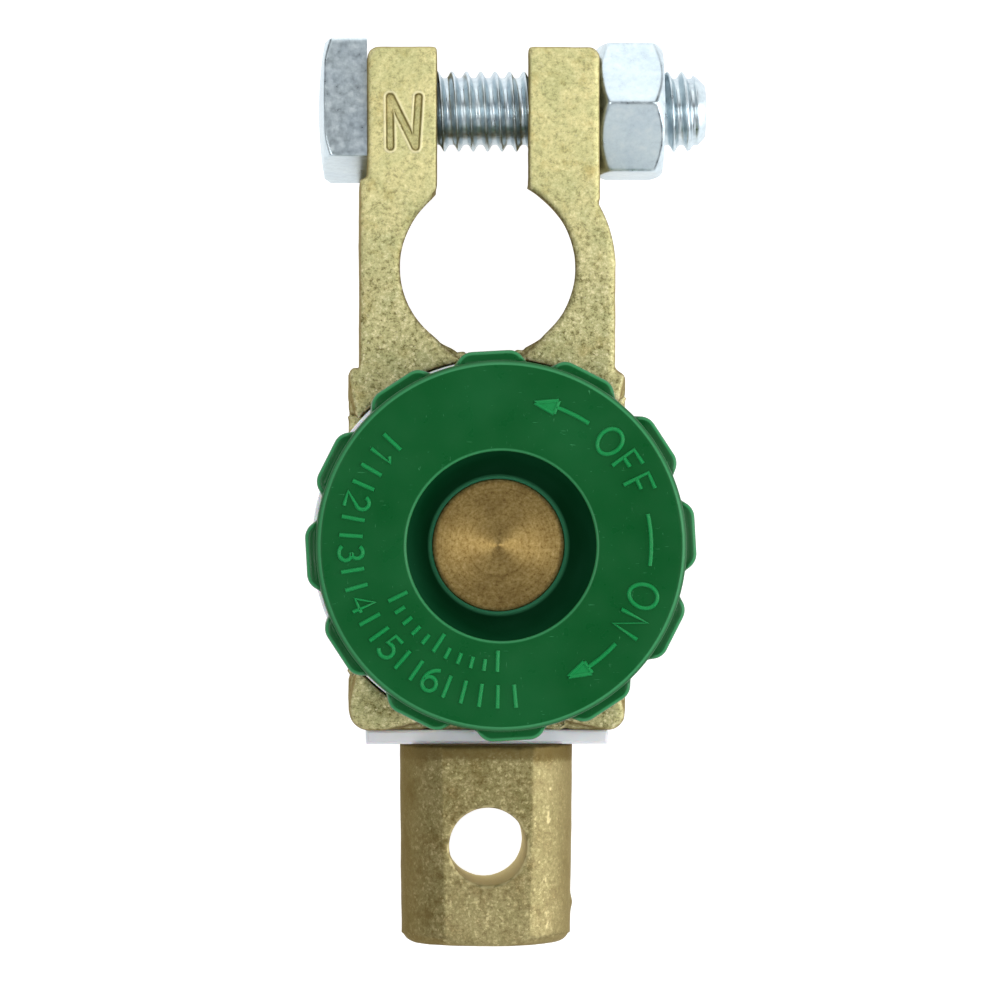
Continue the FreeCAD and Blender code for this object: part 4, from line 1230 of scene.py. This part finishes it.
def insulator_disc():
    low, high = box("insulator_disc")
    tall = high.z - low.z
    profile = [(DISC_HOLE, 0.0), (DISC_REACH - 0.35, 0.0), (DISC_REACH - 0.1, 0.06),
               (DISC_REACH, 0.3), (DISC_REACH, tall - 0.3), (DISC_REACH - 0.1, tall - 0.08),
               (DISC_REACH - 0.35, tall), (DISC_HOLE, tall)]
    piece = turned_piece("moulded_disc", on_knob_axis(low.z), rings(profile, even_angles(160)),
                         loop=True)
    return dress(piece, "terminal", "white_nylon", NYLON, "insulator_disc")


# Fixing screws: pan heads with a cross recess, seen from below

SCREW_HEAD = 2.75
SCREW_SEAT = 2.3
SCREW_THREAD = 1.5
SCREW_THREAD_DEPTH = 0.25
SCREW_PITCH = 0.5
CROSS_DEPTH = 1.1
CROSS_HALF = (0.34, 0.46)
CROSS_REACH = (1.25, 1.5)
CROSS_RINGS = 21


def cross_depth(x, y):
    """Depth of the cross recess at a point of the head."""
    arm, reach = sorted((abs(x), abs(y)))
    inside = (1 - smoothstep(*CROSS_HALF, arm)) * (1 - smoothstep(*CROSS_REACH, reach))
    return CROSS_DEPTH * inside


def screw(number):
    node = f"fixing_screw_{number}"
    low, high = box(node)
    centre = (low + high) / 2
    seat = SCREW_SEAT - low.z
    tall = high.z - low.z
    angles = even_angles(96)
    rows = [tip(cross_depth(0, 0))]
    for k in range(1, CROSS_RINGS + 1):
        row = ring(1.7 * k / CROSS_RINGS, 0.0, angles)
        rows.append([Vector((p.x, p.y, cross_depth(p.x, p.y))) for p in row])
    rows += rings([(1.95, 0.0), (2.25, 0.08), (2.5, 0.26), (2.68, 0.52), (SCREW_HEAD, 0.85),
                   (SCREW_HEAD, seat - 0.05), (SCREW_HEAD - 0.05, seat),
                   (SCREW_THREAD + 0.05, seat)], angles)
    rows += thread_rows(SCREW_THREAD, SCREW_THREAD_DEPTH, SCREW_PITCH, seat + 0.02, tall, angles,
                        lambda height: min(SCREW_THREAD, SCREW_THREAD - 0.35 + (tall - height)))
    rows.append(tip(tall))
    turn = Matrix.Rotation(math.radians(17 + 61 * number), 4, "Z")
    place = moved(centre.x, centre.y, low.z) @ turn
    piece = turned_piece(f"cross_screw_{number}", place, rows)
    return dress(piece, "terminal", "zinc_steel", ZINC, node)


# CAD nodes that keep their own shape

def plain_nodes():
    kept = {
        "thrust_washer": WASHER_STEEL,
        "retaining_ring": WASHER_STEEL,
        "contact_seat": CONTACT_BRASS,
        "stud_seal": RUBBER,
        **{f"shoulder_bush_{n}": NYLON for n in range(1, 5)},
    }
    for node, material in kept.items():
        materials = frame["nodes"][node].data.materials
        materials.clear()
        materials.append(material)


# Studio: floor, lights, world and camera

LIGHT_AIM = Vector((0.0, -0.022, 0.01))

# Each softbox: angle from straight up, direction in plan, distance, size, power
SOFTBOXES = (
    ("north", 58, 90, 0.50, 0.45, 0.86),
    ("south", 55, 270, 0.50, 0.45, 0.70),
    ("west", 44, 180, 0.50, 0.45, 0.22),
    ("east", 52, 0, 0.50, 0.45, 0.60),
    ("low_east", 78, 0, 0.45, 0.25, 0.80),
    ("low_north", 78, 90, 0.45, 0.25, 0.08),
    ("high_west", 28, 180, 0.50, 0.18, 0.68),
    ("high_east", 28, 0, 0.50, 0.18, 0.48),
)

# The world's grey from the horizon to straight up
SKY = ((0.0, 0.65), (0.12, 0.50), (0.26, 0.14), (0.80, 0.05), (0.93, 0.22), (1.0, 0.22))

FLOOR_HALF = 2.0
FLOOR_HEIGHT_M = -0.00005
LENS = 205.6
EYE = Vector((-16.2, -22.56, 568.0)) * MM
TARGET = Vector((1.18, -22.56, 15.0)) * MM


def floor():
    """A pale floor that shines by itself, so that it is white under the product."""
    look = Look("floor")
    ground = look.ramp(look.noise(60.0, 2.0), (0.3, (0.34, 0.34, 0.35)), (0.7, (0.36, 0.36, 0.37)))
    look.set(Base_Color=ground, Roughness=0.6, Emission_Strength=0.96,
             Emission_Color=(1.0, 1.0, 1.0, 1.0))
    mesh = bpy.data.meshes.new("floor")
    corners = [(x * FLOOR_HALF, y * FLOOR_HALF, FLOOR_HEIGHT_M)
               for x, y in ((-1, -1), (1, -1), (1, 1), (-1, 1))]
    mesh.from_pydata(corners, [], [(0, 1, 2, 3)])
    mesh.materials.append(look.material)
    link("floor", mesh)


def world():
    made = bpy.data.worlds.new("studio")
    bpy.context.scene.world = made
    made.use_nodes = True
    nodes = Nodes(made.node_tree, "Background")
    height = nodes.part(nodes.coordinates["Generated"], "Z")
    stops = [(position, (grey, grey, grey * 1.02)) for position, grey in SKY]
    nodes.set(Color=nodes.ramp(height, *stops))


def lights():
    for name, zenith, azimuth, distance, size, power in SOFTBOXES:
        light = bpy.data.lights.new(name, "AREA")
        light.shape = "SQUARE"
        light.size = size
        light.energy = power
        lamp = link(name, light)
        tilt, turn = math.radians(zenith), math.radians(azimuth)
        reach = math.sin(tilt)
        away = Vector((reach * math.cos(turn), reach * math.sin(turn), math.cos(tilt)))
        lamp.location = LIGHT_AIM + distance * away
        lamp.rotation_euler = away.to_track_quat("Z", "Y").to_euler()


def camera():
    data = bpy.data.cameras.new("camera")
    data.sensor_width = 36.0
    data.lens = LENS
    data.clip_start = 0.01
    made = link("camera", data)
    back = (EYE - TARGET).normalized()
    right = Vector((0, 1, 0)).cross(back).normalized()
    up = back.cross(right)
    made.matrix_world = Matrix.Translation(EYE) @ Matrix((right, up, back)).transposed().to_4x4()
    bpy.context.scene.camera = made
    settings = bpy.context.scene.view_settings
    settings.view_transform = "Standard"
    settings.look = "None"


clamp_body()
cable_post()
clamp_bolt()
clamp_nut()
knob()
raised_strokes()
arrow_heads()
contact_stud()
insulator_plate()
insulator_disc()
for screw_number in range(1, 5):
    screw(screw_number)
plain_nodes()
floor()
world()
lights()
camera()

bpy.context.view_layer.update()
